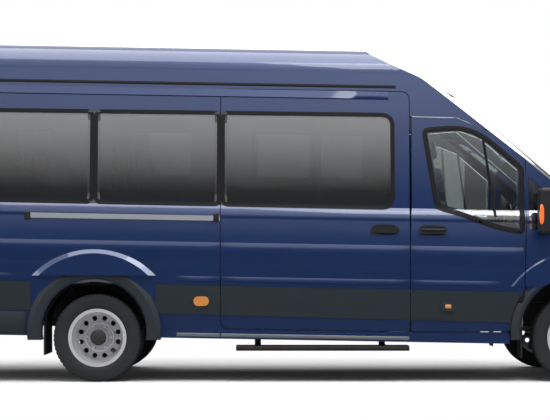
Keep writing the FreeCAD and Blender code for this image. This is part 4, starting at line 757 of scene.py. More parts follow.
@dataclass
class Studio:
    """A pale floor, a white background, soft lamps and the camera, which looks level at the right side.

    The camera sees floor and background white. Glossy rays see them darker, so that paint keeps its depth.
    """

    focal_px: float = 1664.5
    camera_place: tuple = (0.0, -13.985, 0.945)
    centre_px: float = 279.0
    horizon_px: float = 261.0
    sensor: float = 36.0
    view_depth: float = 200.0
    world_light: float = 0.42
    world_shown: float = 0.58
    sky_start: float = 0.16
    sky_slope: float = 6.0
    sky_rise: float = 1.15
    sky_low: float = 0.06
    floor_radii: tuple = (0.001, 3.0, 6.0, 12.0, 60.0)
    floor_grey: float = 0.86
    floor_mirrored: float = 0.80
    shadow_reach: tuple = (4.6, 2.6)
    fade_start: float = 0.72
    fade_slope: float = 3.0
    lamp_aim: tuple = (0.0, 0.0, 1.3)
    lamps: tuple = (
        ((0.0, -1.5, 7.5), (9.0, 6.0), 620.0),
        ((3.5, -6.5, 9.0), (7.0, 4.0), 480.0),
        ((-9.0, -5.0, 5.0), (4.0, 4.0), 150.0),
        ((0.0, 7.0, 5.0), (9.0, 4.0), 260.0),
    )

    def camera(self) -> None:
        """Focal length and shift from the picture's calibration. A shift is pixels over the width."""
        width, height = IMAGE_SIZE
        data = bpy.data.cameras.new("camera")
        data.sensor_width = self.sensor
        data.lens = self.focal_px / width * self.sensor
        data.shift_x = -(self.centre_px - width / 2) / width
        data.shift_y = (self.horizon_px - height / 2) / width
        data.clip_end = self.view_depth
        camera = bpy.data.objects.new("camera", data)
        camera.location = self.camera_place
        camera.rotation_euler = (math.radians(90), 0.0, 0.0)
        bpy.context.scene.collection.objects.link(camera)
        bpy.context.scene.camera = camera

    def seen(self, tree: Tree) -> Socket:
        """One where a ray comes from the camera or through glass, nought elsewhere."""
        path = tree.nodes.new("ShaderNodeLightPath")
        return maths(tree, "MAXIMUM", path.outputs["Is Camera Ray"], path.outputs["Is Transmission Ray"])

    def mirrored(self, tree: Tree) -> Socket:
        """One where a ray comes off a glossy surface, nought elsewhere."""
        return tree.nodes.new("ShaderNodeLightPath").outputs["Is Glossy Ray"]

    def world(self) -> None:
        """A white background that lights less than it shows, and that reflects dark near the horizon."""
        world = bpy.data.worlds.new("studio")
        world.use_nodes = True
        tree = world.node_tree
        backdrop = tree.nodes["Background"]
        backdrop.inputs["Color"].default_value = (1.0, 1.0, 1.0, 1.0)
        height = axes(tree, coordinates(tree, "Generated"))["Z"]
        rise = maths(tree, "MAXIMUM", maths(tree, "SUBTRACT", height, self.sky_start), 0.0)
        climb = maths(tree, "MINIMUM", maths(tree, "MULTIPLY", rise, self.sky_slope), self.sky_rise)
        sky = maths(tree, "ADD", climb, self.sky_low)
        shown = maths(tree, "MULTIPLY", self.seen(tree), self.world_shown)
        plain = maths(tree, "ADD", shown, self.world_light)
        change = maths(tree, "MULTIPLY", self.mirrored(tree), maths(tree, "SUBTRACT", sky, plain))
        tree.links.new(maths(tree, "ADD", plain, change), backdrop.inputs["Strength"])
        bpy.context.scene.world = world

    def away(self, tree: Tree) -> Socket:
        """How far a place on the floor lies outside an ellipse round the object, from nought to one."""
        place = axes(tree, coordinates(tree, "Object"))
        squares = [
            maths(tree, "POWER", maths(tree, "DIVIDE", place[axis], reach), 2.0)
            for axis, reach in zip("XY", self.shadow_reach)
        ]
        reach = maths(tree, "SQRT", maths(tree, "ADD", *squares))
        outside = maths(tree, "MULTIPLY", maths(tree, "SUBTRACT", reach, self.fade_start), self.fade_slope)
        return clamped(tree, outside, 0.0, 1.0)

    def floor(self) -> None:
        """A round floor: matt near the object, so that it takes the shadow, and plain white further out."""
        angle = np.linspace(0, 2 * np.pi, 96, endpoint=False)
        spread, turn = np.meshgrid(np.array(self.floor_radii), angle, indexing="ij")
        points = np.stack([spread * np.cos(turn), spread * np.sin(turn), np.zeros_like(turn)], axis=-1)
        shape = grid(points, wrap_v=True)
        mesh = bpy.data.meshes.new("floor")
        mesh.from_pydata(shape.points.tolist(), [], shape.faces[:, ::-1].tolist())
        floor = bpy.data.objects.new("floor", mesh)
        bpy.context.scene.collection.objects.link(floor)
        material = bpy.data.materials.new("floor")
        material.use_nodes = True
        tree = material.node_tree
        tree.nodes.clear()
        dark = maths(tree, "MULTIPLY", self.mirrored(tree), self.floor_mirrored)
        grey = maths(tree, "SUBTRACT", self.floor_grey, dark)
        shade = tree.nodes.new("ShaderNodeCombineColor")
        for channel in ("Red", "Green", "Blue"):
            tree.links.new(grey, shade.inputs[channel])
        matt = tree.nodes.new("ShaderNodeBsdfDiffuse")
        tree.links.new(shade.outputs[0], matt.inputs["Color"])
        white = tree.nodes.new("ShaderNodeEmission")
        blend = tree.nodes.new("ShaderNodeMixShader")
        tree.links.new(maths(tree, "MULTIPLY", self.away(tree), self.seen(tree)), blend.inputs[0])
        tree.links.new(matt.outputs[0], blend.inputs[1])
        tree.links.new(white.outputs[0], blend.inputs[2])
        output = tree.nodes.new("ShaderNodeOutputMaterial")
        tree.links.new(blend.outputs[0], output.inputs["Surface"])
        mesh.materials.append(material)

    def light(self) -> None:
        """Large soft lamps, each turned to the vehicle's middle."""
        for number, (place, size, power) in enumerate(self.lamps):
            data = bpy.data.lights.new(f"soft_lamp_{number}", "AREA")
            data.shape = "RECTANGLE"
            data.size, data.size_y = size
            data.energy = power
            lamp = bpy.data.objects.new(f"soft_lamp_{number}", data)
            lamp.location = place
            lamp.rotation_euler = (Vector(self.lamp_aim) - Vector(place)).to_track_quat("-Z", "Y").to_euler()
            bpy.context.scene.collection.objects.link(lamp)

    def build(self) -> None:
        """Sets up camera, world, floor and lamps, with colours shown as they are."""
        bpy.context.scene.view_settings.view_transform = "Standard"
        self.camera()
        self.world()
        self.floor()
        self.light()


# Side walls


@dataclass
class BodySides:
    """Pressed lines, a light grey sill line as painted highlight, a black roof strip as painted shade, and
    cladding on both side walls. Every piece rides on the panel it lies on.
    """

    panels: dict = field(default_factory=lambda: {
        "right": (("rear_quarter", "body", -3.25, -0.463), ("sliding_door", "body", -0.453, 1.018),
                  ("front_door", "front_door_right", 1.028, 1.905)),
        "left": (("side_wall", "body", -3.25, 1.018), ("front_door", "front_door_left", 1.028, 1.905)),
    })
    rear_arch: tuple = (-2.09, -0.80)
    door_ledge_front: float = 1.72
    skirt_ends: tuple = (-3.24, -1.975)
    shelf_ends: tuple = (-3.25, 0.86)
    gutter_shade_ends: tuple = (-3.25, 0.92)
    roof_fade: float = 0.25
    ledge_fade: float = 0.05
    crease_fade: float = 0.03
    ledge: tuple = ((0.774, 0.780, 0.800, 0.816), (0.0003, 0.0055, 0.0045, 0.0003))
    crease: tuple = (
        (0.920, 0.970, 1.010, 1.045, 1.066, 1.082), (0.0003, 0.0035, 0.006, 0.0072, 0.0045, 0.0003),
    )
    roof_ledge: tuple = ((2.226, 2.234, 2.262, 2.292), (0.0003, 0.008, 0.004, 0.0003))
    # Section of a near-black strip under the roof edge: painted shade of the gutter groove
    gutter_shade: tuple = ((2.318, 2.324, 2.338, 2.343), (0.0003, 0.003, 0.003, 0.0003))
    # Section of the sill line, whose lighter grey is a painted highlight
    sill_highlight: tuple = ((0.344, 0.350, 0.366, 0.372), (0.0005, 0.005, 0.005, 0.0005))
    cladding: tuple = ((0.336, 0.344, 0.508, 0.516), (0.001, 0.006, 0.006, 0.001))

    def spans(self, low: float, high: float) -> list:
        """The stretches of a panel that stay clear of the rear wheel arch."""
        parts = []
        if low < self.rear_arch[0]:
            parts.append((low, min(high, self.rear_arch[0])))
        if high > self.rear_arch[1]:
            parts.append((max(low, self.rear_arch[1]), high))
        return parts

    def build(self) -> None:
        """Lays every band on every panel of both sides."""
        paint, painted_highlight = FINISHES["blue_paint"], FINISHES["cladding_painted_highlight"]
        for side, sign in SIDES.items():
            for name, body, low, high in self.panels[side]:
                front = self.door_ledge_front if name == "front_door" else high
                for number, span in enumerate(self.spans(low, front)):
                    ridge = FORM.band(span, self.ledge, self.ledge_fade).on(sign)
                    make_piece(f"{name}_ledge_{number}_{side}", ridge, paint, body)
                crease = FORM.band((low, high), self.crease, self.crease_fade).on(sign)
                make_piece(f"{name}_crease_{side}", crease, paint, body)
                if body == "body":
                    for number, span in enumerate(self.spans(low, high)):
                        # The sill line is painted a lighter grey than the cladding: a painted highlight
                        edge = FORM.band(span, self.sill_highlight).on(sign)
                        make_piece(f"{name}_sill_{number}_{side}", edge, painted_highlight, body)
            skirt = FORM.band(self.skirt_ends, self.cladding).on(sign)
            make_piece(f"rear_skirt_{side}", skirt, FINISHES["grey_cladding"], "body")
            shelf = FORM.band(self.shelf_ends, self.roof_ledge, self.roof_fade).on(sign)
            make_piece(f"roof_ledge_{side}", shelf, paint, "body")
            # The near-black strip along the roof side is painted shade of the gutter groove
            seam = FORM.band(self.gutter_shade_ends, self.gutter_shade, self.roof_fade).on(sign)
            make_piece(f"roof_gutter_painted_shade_{side}", seam, FINISHES["seal_rubber"], "body")


# Windows


@dataclass
class Glazing:
    """Black borders and seals round the panes, dark posts between them and the linings of both side walls."""

    belt: tuple = (1.378, 0.0200)
    top: tuple = (2.103, 0.0125)
    pane_ends: tuple = (
        (-2.900, -1.464, 0.085, 0.04), (-1.436, -0.469, 0.04, 0.04), (-0.441, 0.890, 0.04, 0.085),
    )
    pane_names: dict = field(default_factory=lambda: {
        "right": ("rear", "middle", "sliding"), "left": ("rear", "middle", "front"),
    })
    border: tuple = (0.034, 0.0008)
    cab_pane: tuple = (
        (1.138, 1.972, 0.03), (1.430, 1.996, 0.12), (1.600, 1.928, 0.09), (1.898, 1.672, 0.012),
        (1.898, 1.172, 0.02), (1.700, 1.196, 0.2), (1.440, 1.312, 0.15), (1.236, 1.362, 0.06),
    )
    cab_frame: tuple = (0.040, 0.004)
    cab_bar: tuple = ((1.600, 1.900), (1.690, 1.290))
    cab_bar_radius: float = 0.010
    cab_bar_out: float = 0.001
    posts: tuple = ((-1.50, -1.40), (-0.505, -0.463), (-0.453, -0.405))
    post_section: tuple = ((1.372, 1.378, 2.10, 2.106), (0.0008, 0.0012, 0.0012, 0.0008))
    post_fade: float = 0.004
    lining_ends: tuple = (-3.15, 1.0)
    lining_levels: tuple = (0.80, 2.30)
    lining_depths: tuple = (0.064, 0.070)
    inner_openings: tuple = ((-2.32, -1.80), (-1.317, -0.69), (-0.215, 0.296), (0.331, 0.833))
    inner_levels: tuple = (1.50, 2.07)

    def loop(self, low: float, high: float, rear: float, front: float) -> np.ndarray:
        """Outline of a side pane between the belt line and the top line, with rounded corners."""
        return rounded_loop([
            (low, self.belt[0] - self.belt[1] * low, rear), (high, self.belt[0] - self.belt[1] * high, front),
            (high, self.top[0] - self.top[1] * high, front), (low, self.top[0] - self.top[1] * low, rear),
        ])

    def lining(self) -> Shape:
        """Inner lining of a side wall: upright and level strips that leave the window openings free."""
        rear, front = self.lining_ends
        floor, ceiling = self.lining_levels
        edges = [rear] + [x for opening in self.inner_openings for x in opening] + [front]
        posts = list(zip(edges[0::2], edges[1::2]))
        strips = [(low, high, *self.inner_levels) for low, high in posts]
        strips += [(rear, front, floor, self.inner_levels[0]), (rear, front, self.inner_levels[1], ceiling)]
        parts = []
        for low, high, bottom, top in strips:
            x, level = np.meshgrid(np.linspace(low, high, 8), np.linspace(bottom, top, 10), indexing="ij")
            outer, inner = (FORM.place(x, level, -depth) for depth in self.lining_depths)
            parts.append(shell(inner, outer))
        return together(parts)

    def build(self) -> None:
        """Makes the borders on both sides, the cab door frames, the posts and the linings."""
        seal = FINISHES["seal_rubber"]
        for side, sign in SIDES.items():
            door = f"front_door_{side}"
            for name, ends in zip(self.pane_names[side], self.pane_ends):
                border = FORM.ring(self.loop(*ends), *self.border).on(sign)
                make_piece(f"{name}_pane_border_{side}", border, seal, "body")
            frame_ring = FORM.ring(rounded_loop(list(self.cab_pane)), *self.cab_frame).on(sign)
            make_piece(f"cab_pane_frame_{side}", frame_ring, seal, door)
            line = np.linspace(*np.array(self.cab_bar), 12)
            path = FORM.place(line[:, 0], line[:, 1] + FORM.rake * line[:, 0], self.cab_bar_out)
            bar = tube(path, self.cab_bar_radius, 10).on(sign)
            make_piece(f"cab_pane_bar_{side}", bar, seal, door)
            for number, ends in enumerate(self.posts):
                post = FORM.band(ends, self.post_section, self.post_fade).on(sign)
                make_piece(f"window_post_{number}_{side}", post, FINISHES["frit_black"], "body")
            lining = self.lining().on(sign)
            make_piece(f"side_lining_{side}", lining, FINISHES["grey_interior"], "body")


# Wheels


@dataclass
class RoadWheels:
    """Tyres with tread, bright wheel nuts, a ring on the rear discs painted light as a highlight, and hub
    caps.
    """

    radius: float = 0.344
    front_axle: float = 2.329
    rear_axle: float = -1.421
    front_middle: float = -0.870
    rear_middles: tuple = (-0.888, -0.672)
    steps: int = 300
    slot_every: int = 5
    slot_depth: float = 0.0055
    shoulder: tuple = (0.0545, 0.325)
    crown: float = 0.0018
    half_tread: float = 0.08
    tread: tuple = (
        (-0.080, 0.0), (-0.055, 0.0), (-0.0535, 0.007), (-0.0465, 0.007), (-0.045, 0.0), (-0.027, 0.0),
        (-0.0255, 0.007), (-0.0185, 0.007), (-0.017, 0.0), (0.017, 0.0), (0.0185, 0.007), (0.0255, 0.007),
        (0.027, 0.0), (0.045, 0.0), (0.0465, 0.007), (0.0535, 0.007), (0.055, 0.0), (0.080, 0.0),
    )
    wall: tuple = (
        (0.086, 0.338), (0.0915, 0.328), (0.0955, 0.312), (0.0975, 0.296), (0.0980, 0.285), (0.0965, 0.284),
        (0.0970, 0.270), (0.0955, 0.262), (0.0955, 0.258), (0.0925, 0.250), (0.0860, 0.238), (0.0790, 0.229),
        (0.0700, 0.222), (0.0660, 0.2145),
    )
    front_nuts: tuple = (-0.951, 0.088)
    rear_nuts: tuple = (-0.800, 0.092)
    nut: tuple = (
        (0.012, 0.017), (0.0, 0.017), (-0.004, 0.0145), (-0.020, 0.0145), (-0.023, 0.012), (-0.023, 0.0005),
    )
    rear_highlight_ring: tuple = ((-0.799, 0.104), (-0.806, 0.106), (-0.808, 0.111), (-0.805, 0.117), (-0.796, 0.119))
    rear_cap: tuple = ((-0.884, 0.066), (-0.895, 0.064), (-0.900, 0.055), (-0.903, 0.030), (-0.904, 0.0005))
    front_cap: tuple = ((-0.966, 0.064), (-0.972, 0.062), (-0.976, 0.050), (-0.978, 0.020), (-0.978, 0.0005))

    def tyre(self, x: float, y: float) -> Shape:
        """A tyre ring: section of tread, walls and bead, turned round Y, with slots in its shoulders.

        Args:
            x: Axle position.
            y: Middle of the tread.

        Returns:
            A closed ring.
        """
        tread = [
            (a, self.radius - self.crown * (a / self.half_tread) ** 2 - depth) for a, depth in self.tread
        ]
        section = np.array([(-a, r) for a, r in reversed(self.wall)] + tread + list(self.wall))
        angle = np.linspace(0, 2 * np.pi, self.steps, endpoint=False)
        slot = (np.arange(self.steps) % self.slot_every == 0)[None, :]
        outside, above = self.shoulder
        shoulder = ((np.abs(section[:, 0]) > outside) & (section[:, 1] > above))[:, None]
        reach = section[:, 1:2] - self.slot_depth * (slot & shoulder)
        across = np.broadcast_to(section[:, 0:1], reach.shape)
        round_x, round_z = x + reach * np.cos(angle), self.radius + reach * np.sin(angle)
        return grid(np.stack([round_x, y + across, round_z], axis=-1), wrap_u=True, wrap_v=True)

    def nuts(self, x: float, place: tuple, count: int = 6) -> Shape:
        """Six-sided wheel nuts on a circle, each a short stepped profile turned round Y with six corners.

        Args:
            x: Axle position.
            place: The nuts' seat across the vehicle, and the radius of their circle.
            count: Number of nuts.

        Returns:
            All nuts as one shape.
        """
        y, radius = place
        return together([
            turned(self.nut, (x + radius * np.cos(turn), y, self.radius + radius * np.sin(turn)), 1, 6)
            for turn in 2 * np.pi * np.arange(count) / count
        ])

    def build(self) -> None:
        """Replaces the plain tyres and adds what is bolted to the discs."""
        rubber, bright_and_highlight, dark = (FINISHES[name] for name in ("tyre_rubber", "bright_metal_and_highlight", "hub_dark"))
        front_centre = (self.front_axle, 0.0, self.radius)
        rear_centre = (self.rear_axle, 0.0, self.radius)
        for side, sign in SIDES.items():
            wheel, twin = f"front_wheel_{side}", f"rear_wheels_{side}"
            tread = self.tyre(self.front_axle, self.front_middle).on(sign)
            front = make_piece(f"front_tread_{side}", tread, rubber, wheel, 32.0)
            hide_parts(f"front_tyre_{side}")
            treads = together([self.tyre(self.rear_axle, middle) for middle in self.rear_middles]).on(sign)
            rear = make_piece(f"rear_treads_{side}", treads, rubber, twin, 32.0)
            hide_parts(f"rear_tyres_{side}")
            for name, shape, finish, body, slot in (
                ("front_nuts", self.nuts(self.front_axle, self.front_nuts), bright_and_highlight, wheel, "wheel_silver"),
                ("rear_nuts", self.nuts(self.rear_axle, self.rear_nuts), bright_and_highlight, twin, "wheel_silver"),
                # The ring is lighter than the wheel around it: a painted highlight on the disc
                ("rear_highlight_ring", turned(self.rear_highlight_ring, rear_centre, 1, 72), bright_and_highlight, twin, "wheel_silver"),
                ("rear_hub_cap", turned(self.rear_cap, rear_centre, 1, 48), dark, twin, "cast_iron"),
                ("front_hub_cap", turned(self.front_cap, front_centre, 1, 48), dark, wheel, "cast_iron"),
            ):
                make_piece(f"{name}_{side}", shape.on(sign), finish, body)


# Seats


@dataclass
class Seats:
    """Seats whose cushions and backs are blown up as cloth, then set on frames of tube.

    Sizes of a kind of seat are width, depth, cushion height and back height. Shifts, feet and tops hold an
    offset along X and one in height.
    """

    rows: tuple = (-2.780, -2.000, -1.220, -0.440)
    places: tuple = (0.640, 0.190, -0.640)
    passenger: tuple = (0.430, 0.450, 1.140, 0.600)
    cab: tuple = (0.500, 0.500, 1.150, 0.640)
    cab_x: float = 1.330
    cab_y: float = 0.470
    floor: float = 0.690
    lean: float = 10.0
    cushion_shift: tuple = (0.015, -0.065)
    back_shift: tuple = (-0.035, -0.03)
    rest_shift: tuple = (-0.098, 0.045)
    cushion_half: float = 0.062
    back_half: float = 0.052
    rest_half: tuple = (0.042, 0.125, 0.075)
    pad_gaps: tuple = (0.006, 0.01)
    leg_insets: tuple = (0.07, 0.1)
    leg_ends: tuple = (0.004, 0.12)
    rail_insets: tuple = (0.03, 0.05)
    rail_drop: float = 0.125
    stay_foot: tuple = (0.02, 0.12)
    stay_top: tuple = (-0.115, 0.8)
    post_foot: tuple = (-0.085, -0.08)
    post_top: tuple = (-0.098, 0.03)
    spreads: tuple = (0.3, 0.36, 0.06)
    tube_radii: tuple = (0.016, 0.014, 0.012, 0.006)
    start_share: float = 0.94
    voxel: float = 0.014
    pressure: float = 4.0
    steps: int = 20
    seam_depth: float = 0.10
    seam_width: float = 0.12

    def pad(self, name: str, size: tuple) -> Shape:
        """A stuffed pad about the origin: a superellipsoid blown up by cloth pressure, cut off at its limits.

        A seam draws its sides in: the plan shrinks by a bell curve of the height, deepest at the middle.

        Args:
            name: Name for the pad while it is made.
            size: Half lengths along X, Y and Z.

        Returns:
            Its shape, ready to be copied to each seat.
        """
        limit = np.array(size)
        start = pebble(tuple(-self.start_share * limit), tuple(self.start_share * limit), 0.35, (28, 16))
        mesh = bpy.data.meshes.new(name)
        mesh.from_pydata(start.points.tolist(), [], start.faces.tolist())
        piece = bpy.data.objects.new(name, mesh)
        bpy.context.scene.collection.objects.link(piece)
        bpy.context.view_layer.objects.active = piece
        remesh = piece.modifiers.new("voxels", "REMESH")
        remesh.mode = "VOXEL"
        remesh.voxel_size = self.voxel
        cloth = piece.modifiers.new("stuffing", "CLOTH")
        cloth.settings.use_pressure = True
        cloth.settings.uniform_pressure_force = self.pressure
        cloth.settings.effector_weights.gravity = 0.0
        cloth.point_cache.frame_start = 1
        cloth.point_cache.frame_end = self.steps
        for number in range(1, self.steps + 1):
            bpy.context.scene.frame_set(number)
        shown = bpy.data.meshes.new_from_object(piece.evaluated_get(bpy.context.evaluated_depsgraph_get()))
        bpy.data.objects.remove(piece)
        bpy.context.scene.frame_set(1)
        points = np.empty(len(shown.vertices) * 3)
        shown.vertices.foreach_get("co", points)
        points = np.clip(points.reshape(-1, 3), -limit, limit)
        seam = 1.0 - self.seam_depth * np.exp(-((points[:, 2] / (self.seam_width * size[2])) ** 2))
        points[:, :2] *= seam[:, None]
        faces = np.array([list(face.vertices) for face in shown.polygons if len(face.vertices) == 4])
        return Shape(points, faces)

    def frame(self, x: float, y: float, size: tuple) -> Shape:
        """The tubes of a seat: four legs, two rails, two stays and the posts of the head restraint.

        Args:
            x: Rear of the cushion.
            y: Middle of the seat.
            size: Width, depth, cushion height and back height.

        Returns:
            All tubes as one shape.
        """
        width, depth, height, back_height = size
        top = height + back_height
        leg, rail, stay, post = self.tube_radii
        base, behind, middle = width * self.spreads[0], width * self.spreads[1], self.spreads[2]

        def pair(start: tuple, end: tuple, spread: float, radius: float) -> list:
            """Two tubes between (x, z) points, at the same distance on each side of the seat's middle."""
            return [
                tube([(start[0], y + side * spread, start[1]), (end[0], y + side * spread, end[1])], radius)
                for side in (-1, 1)
            ]

        tubes = []
        foot, head = self.floor + self.leg_ends[0], height - self.leg_ends[1]
        for at in (self.leg_insets[0], depth - self.leg_insets[1]):
            tubes += pair((x + at, foot), (x + at, head), base, leg)
        low = height - self.rail_drop
        tubes += pair((x + self.rail_insets[0], low), (x + depth - self.rail_insets[1], low), base, rail)
        foot = (x + self.stay_foot[0], height - self.stay_foot[1])
        head = (x + self.stay_top[0], height + back_height * self.stay_top[1])
        tubes += pair(foot, head, behind, stay)
        foot = (x + self.post_foot[0], top + self.post_foot[1])
        head = (x + self.post_top[0], top + self.post_top[1])
        tubes += pair(foot, head, middle, post)
        return together(tubes)

    def seat(self, x: float, y: float, size: tuple, pads: tuple) -> tuple:
        """One seat's soft parts and hard parts.

        Args:
            x: Rear of the cushion.
            y: Middle of the seat.
            size: Width, depth, cushion height and back height.
            pads: The cushion, the back and the head restraint about the origin.

        Returns:
            Cushion, back with head restraint, and the frame below and behind them.
        """
        _, depth, height, back_height = size
        lean = math.radians(self.lean)
        cosine, sine = math.cos(lean), math.sin(lean)
        turn = np.array([[cosine, 0, -sine], [0, 1, 0], [sine, 0, cosine]])
        cushion, back, rest = pads[0], *(Shape(pad.points @ turn.T, pad.faces) for pad in pads[1:])
        cushion = cushion.moved(x + depth / 2 + self.cushion_shift[0], y, height + self.cushion_shift[1])
        back = back.moved(x + self.back_shift[0], y, height + back_height / 2 + self.back_shift[1])
        rest = rest.moved(x + self.rest_shift[0], y, height + back_height + self.rest_shift[1])
        return cushion, together([back, rest]), self.frame(x, y, size)

    def build(self) -> None:
        """Makes the pads once for each kind of seat and sets out all seats."""
        cloth, steel = FINISHES["seat_cloth"], FINISHES["black_steel"]
        for name, size, spots in (
            ("passenger", self.passenger, [(x, y) for x in self.rows for y in self.places]),
            ("cab", self.cab, [(self.cab_x, -self.cab_y), (self.cab_x, self.cab_y)]),
        ):
            width, depth, _, back_height = size
            cushion_side, back_side = (width / 2 - gap for gap in self.pad_gaps)
            pads = (
                self.pad(f"{name}_cushion_form", (depth / 2, cushion_side, self.cushion_half)),
                self.pad(f"{name}_back_form", (self.back_half, back_side, back_height / 2)),
                self.pad(f"{name}_head_form", self.rest_half),
            )
            seats = [self.seat(x, y, size, pads) for x, y in spots]
            cushions, backs, frames = (together(list(shapes)) for shapes in zip(*seats))
            soft = make_piece(f"{name}_cushions", cushions, cloth, "body", 60.0)
            upright = make_piece(f"{name}_backs", backs, cloth, "body", 60.0)
            hard = make_piece(f"{name}_frames", frames, steel, "body")
            node = "passenger_seats" if name == "passenger" else "cab_seats"
            for piece in (soft, upright, hard):
                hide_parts(node)


# Door furniture and small parts


@dataclass
class DoorFurniture:
    """Handles on near-black ovals that are painted shade of their recesses, the end stops of the sliding
    door's rail and the indicator lamps on the mirrors.
    """

    front_x: float = 1.200
    sliding_x: float = 0.826
    level: float = 1.205
    recess_shade_lengths: tuple = (0.22, 0.2)
    recess_shade_half_height: float = 0.042
    recess_shade_power: float = 0.6
    recess_shade_rings: tuple = ((0.02, 0.0006), (0.5, 0.0006), (0.9, 0.0012), (1.0, -FORM.root))
    grip_length: float = 0.2
    grip_rise: float = 0.004
    grip_section: tuple = (0.013, 0.008)
    grip_out: float = 0.034
    grip_bend: float = 0.030
    mirror_lamp: tuple = ((2.001, -1.2369, 1.222), (2.070, -1.190, 1.384))
    rear_stop: tuple = ((-1.985, -1.0185, 1.268), (-1.93, -0.99, 1.332))
    front_stop: tuple = ((-0.515, -1.0195, 1.250), (-0.465, -0.99, 1.318))

    def recess_shade(self, x: float, length: float) -> Shape:
        """A near-black oval behind a handle, painted shade of the handle's recess: a flattened superellipse
        sheet that follows the door's surface.
        """
        shares, outs = np.array(self.recess_shade_rings).T
        turn, share = np.meshgrid(np.linspace(0, 2 * np.pi, 40, endpoint=False), shares, indexing="xy")
        spread = np.sign(np.cos(turn)) * np.abs(np.cos(turn)) ** self.recess_shade_power * length / 2 * share
        rise = np.sign(np.sin(turn)) * np.abs(np.sin(turn)) ** self.recess_shade_power * self.recess_shade_half_height * share
        out = outs[:, None] * np.ones_like(turn)
        return grid(FORM.place(x + spread, self.level + rise, out), wrap_v=True)

    def grip(self, x: float, length: float) -> Shape:
        """A pull handle: an oval bar bent in at both ends, swept along the door's surface."""
        share = np.linspace(-1, 1, 24)
        out = self.grip_out - self.grip_bend * np.abs(share) ** 6
        path = FORM.place(x + share * length / 2, np.full(24, self.level + self.grip_rise), out)
        return swept(path, circle(1.0, 14) * np.array(self.grip_section))

    def build(self) -> None:
        """Handles on the front doors, the painted shade oval and rail stops of the sliding door, and lamps on
        the mirrors.
        """
        seal, plastic = FINISHES["seal_rubber"], FINISHES["black_plastic"]
        for side, sign in SIDES.items():
            body = f"front_door_{side}"
            # Near-black oval on the door round the handle: painted shade of its recess
            recess_shade = self.recess_shade(self.front_x, self.recess_shade_lengths[0]).on(sign)
            make_piece(f"front_handle_recess_shade_{side}", recess_shade, seal, body)
            grip = self.grip(self.front_x, self.grip_length).on(sign)
            make_piece(f"front_handle_grip_{side}", grip, plastic, body)
            lamp = pebble(*self.mirror_lamp, 0.4, (24, 14)).on(sign)
            make_piece(f"mirror_lamp_{side}", lamp, FINISHES["lamp_orange"], "body")
        # Near-black oval round the sliding door's handle: painted shade of its recess
        recess_shade = self.recess_shade(self.sliding_x, self.recess_shade_lengths[1])
        make_piece("sliding_handle_recess_shade", recess_shade, seal, "body")
        make_piece("rail_end_cap", pebble(*self.rear_stop, 0.3), plastic, "body")
        make_piece("rail_front_stop", pebble(*self.front_stop, 0.3), plastic, "body")


# Arches, front and rear ends, cab


@dataclass
class ArchLiners:
    """Dark liners inside the four wheel arches: part of a drum round the wheel, and an inner wall."""

    arches: tuple = ((2.329, 0.385, 0.440, 0.568), (-1.443, 0.394, 0.402, 0.562))
    outer: float = 0.972
    ceiling: float = 0.765
    foot: float = 0.615
    thick: float = 0.004
    drum_span: tuple = (18, 162)
    wall_span: tuple = (35, 145)

    def liner(self, x: float, z: float, radius: float, inner: float) -> Shape:
        """Drum and wall: points at radius and angle, cut off at the ceiling. The wall rises from its foot.

        Args:
            x: Middle of the arch.
            z: Height of its middle.
            radius: Radius of the drum.
            inner: Distance of the inner wall from the vehicle's middle.

        Returns:
            Both sheets, each with its thickness.
        """
        turns, widths = np.radians(np.linspace(*self.drum_span, 40)), np.linspace(-self.outer, -inner, 6)
        angle, y = np.meshgrid(turns, widths, indexing="ij")
        drum = [
            np.stack([x + r * np.cos(angle), y, np.minimum(z + r * np.sin(angle), top)], axis=-1)
            for r, top in ((radius - self.thick, self.ceiling - self.thick), (radius, self.ceiling))
        ]
        turns, shares = np.radians(np.linspace(*self.wall_span, 30)), np.linspace(0, 1, 6)
        angle, share = np.meshgrid(turns, shares, indexing="ij")
        top = np.minimum(z + radius * np.sin(angle), self.ceiling)
        height = self.foot + (top - self.foot) * share
        wall = [
            np.stack([x + radius * np.cos(angle), np.full(angle.shape, -inner - depth), height], axis=-1)
            for depth in (self.thick, 0.0)
        ]
        return together([shell(*drum), shell(*wall)])

    def build(self) -> None:
        """Lines the arches of both sides."""
        plastic = FINISHES["black_plastic"]
        for side, sign in SIDES.items():
            for name, arch in zip(("front", "rear"), self.arches):
                liner = self.liner(*arch).on(sign)
                make_piece(f"{name}_arch_liner_{side}", liner, plastic, "body")


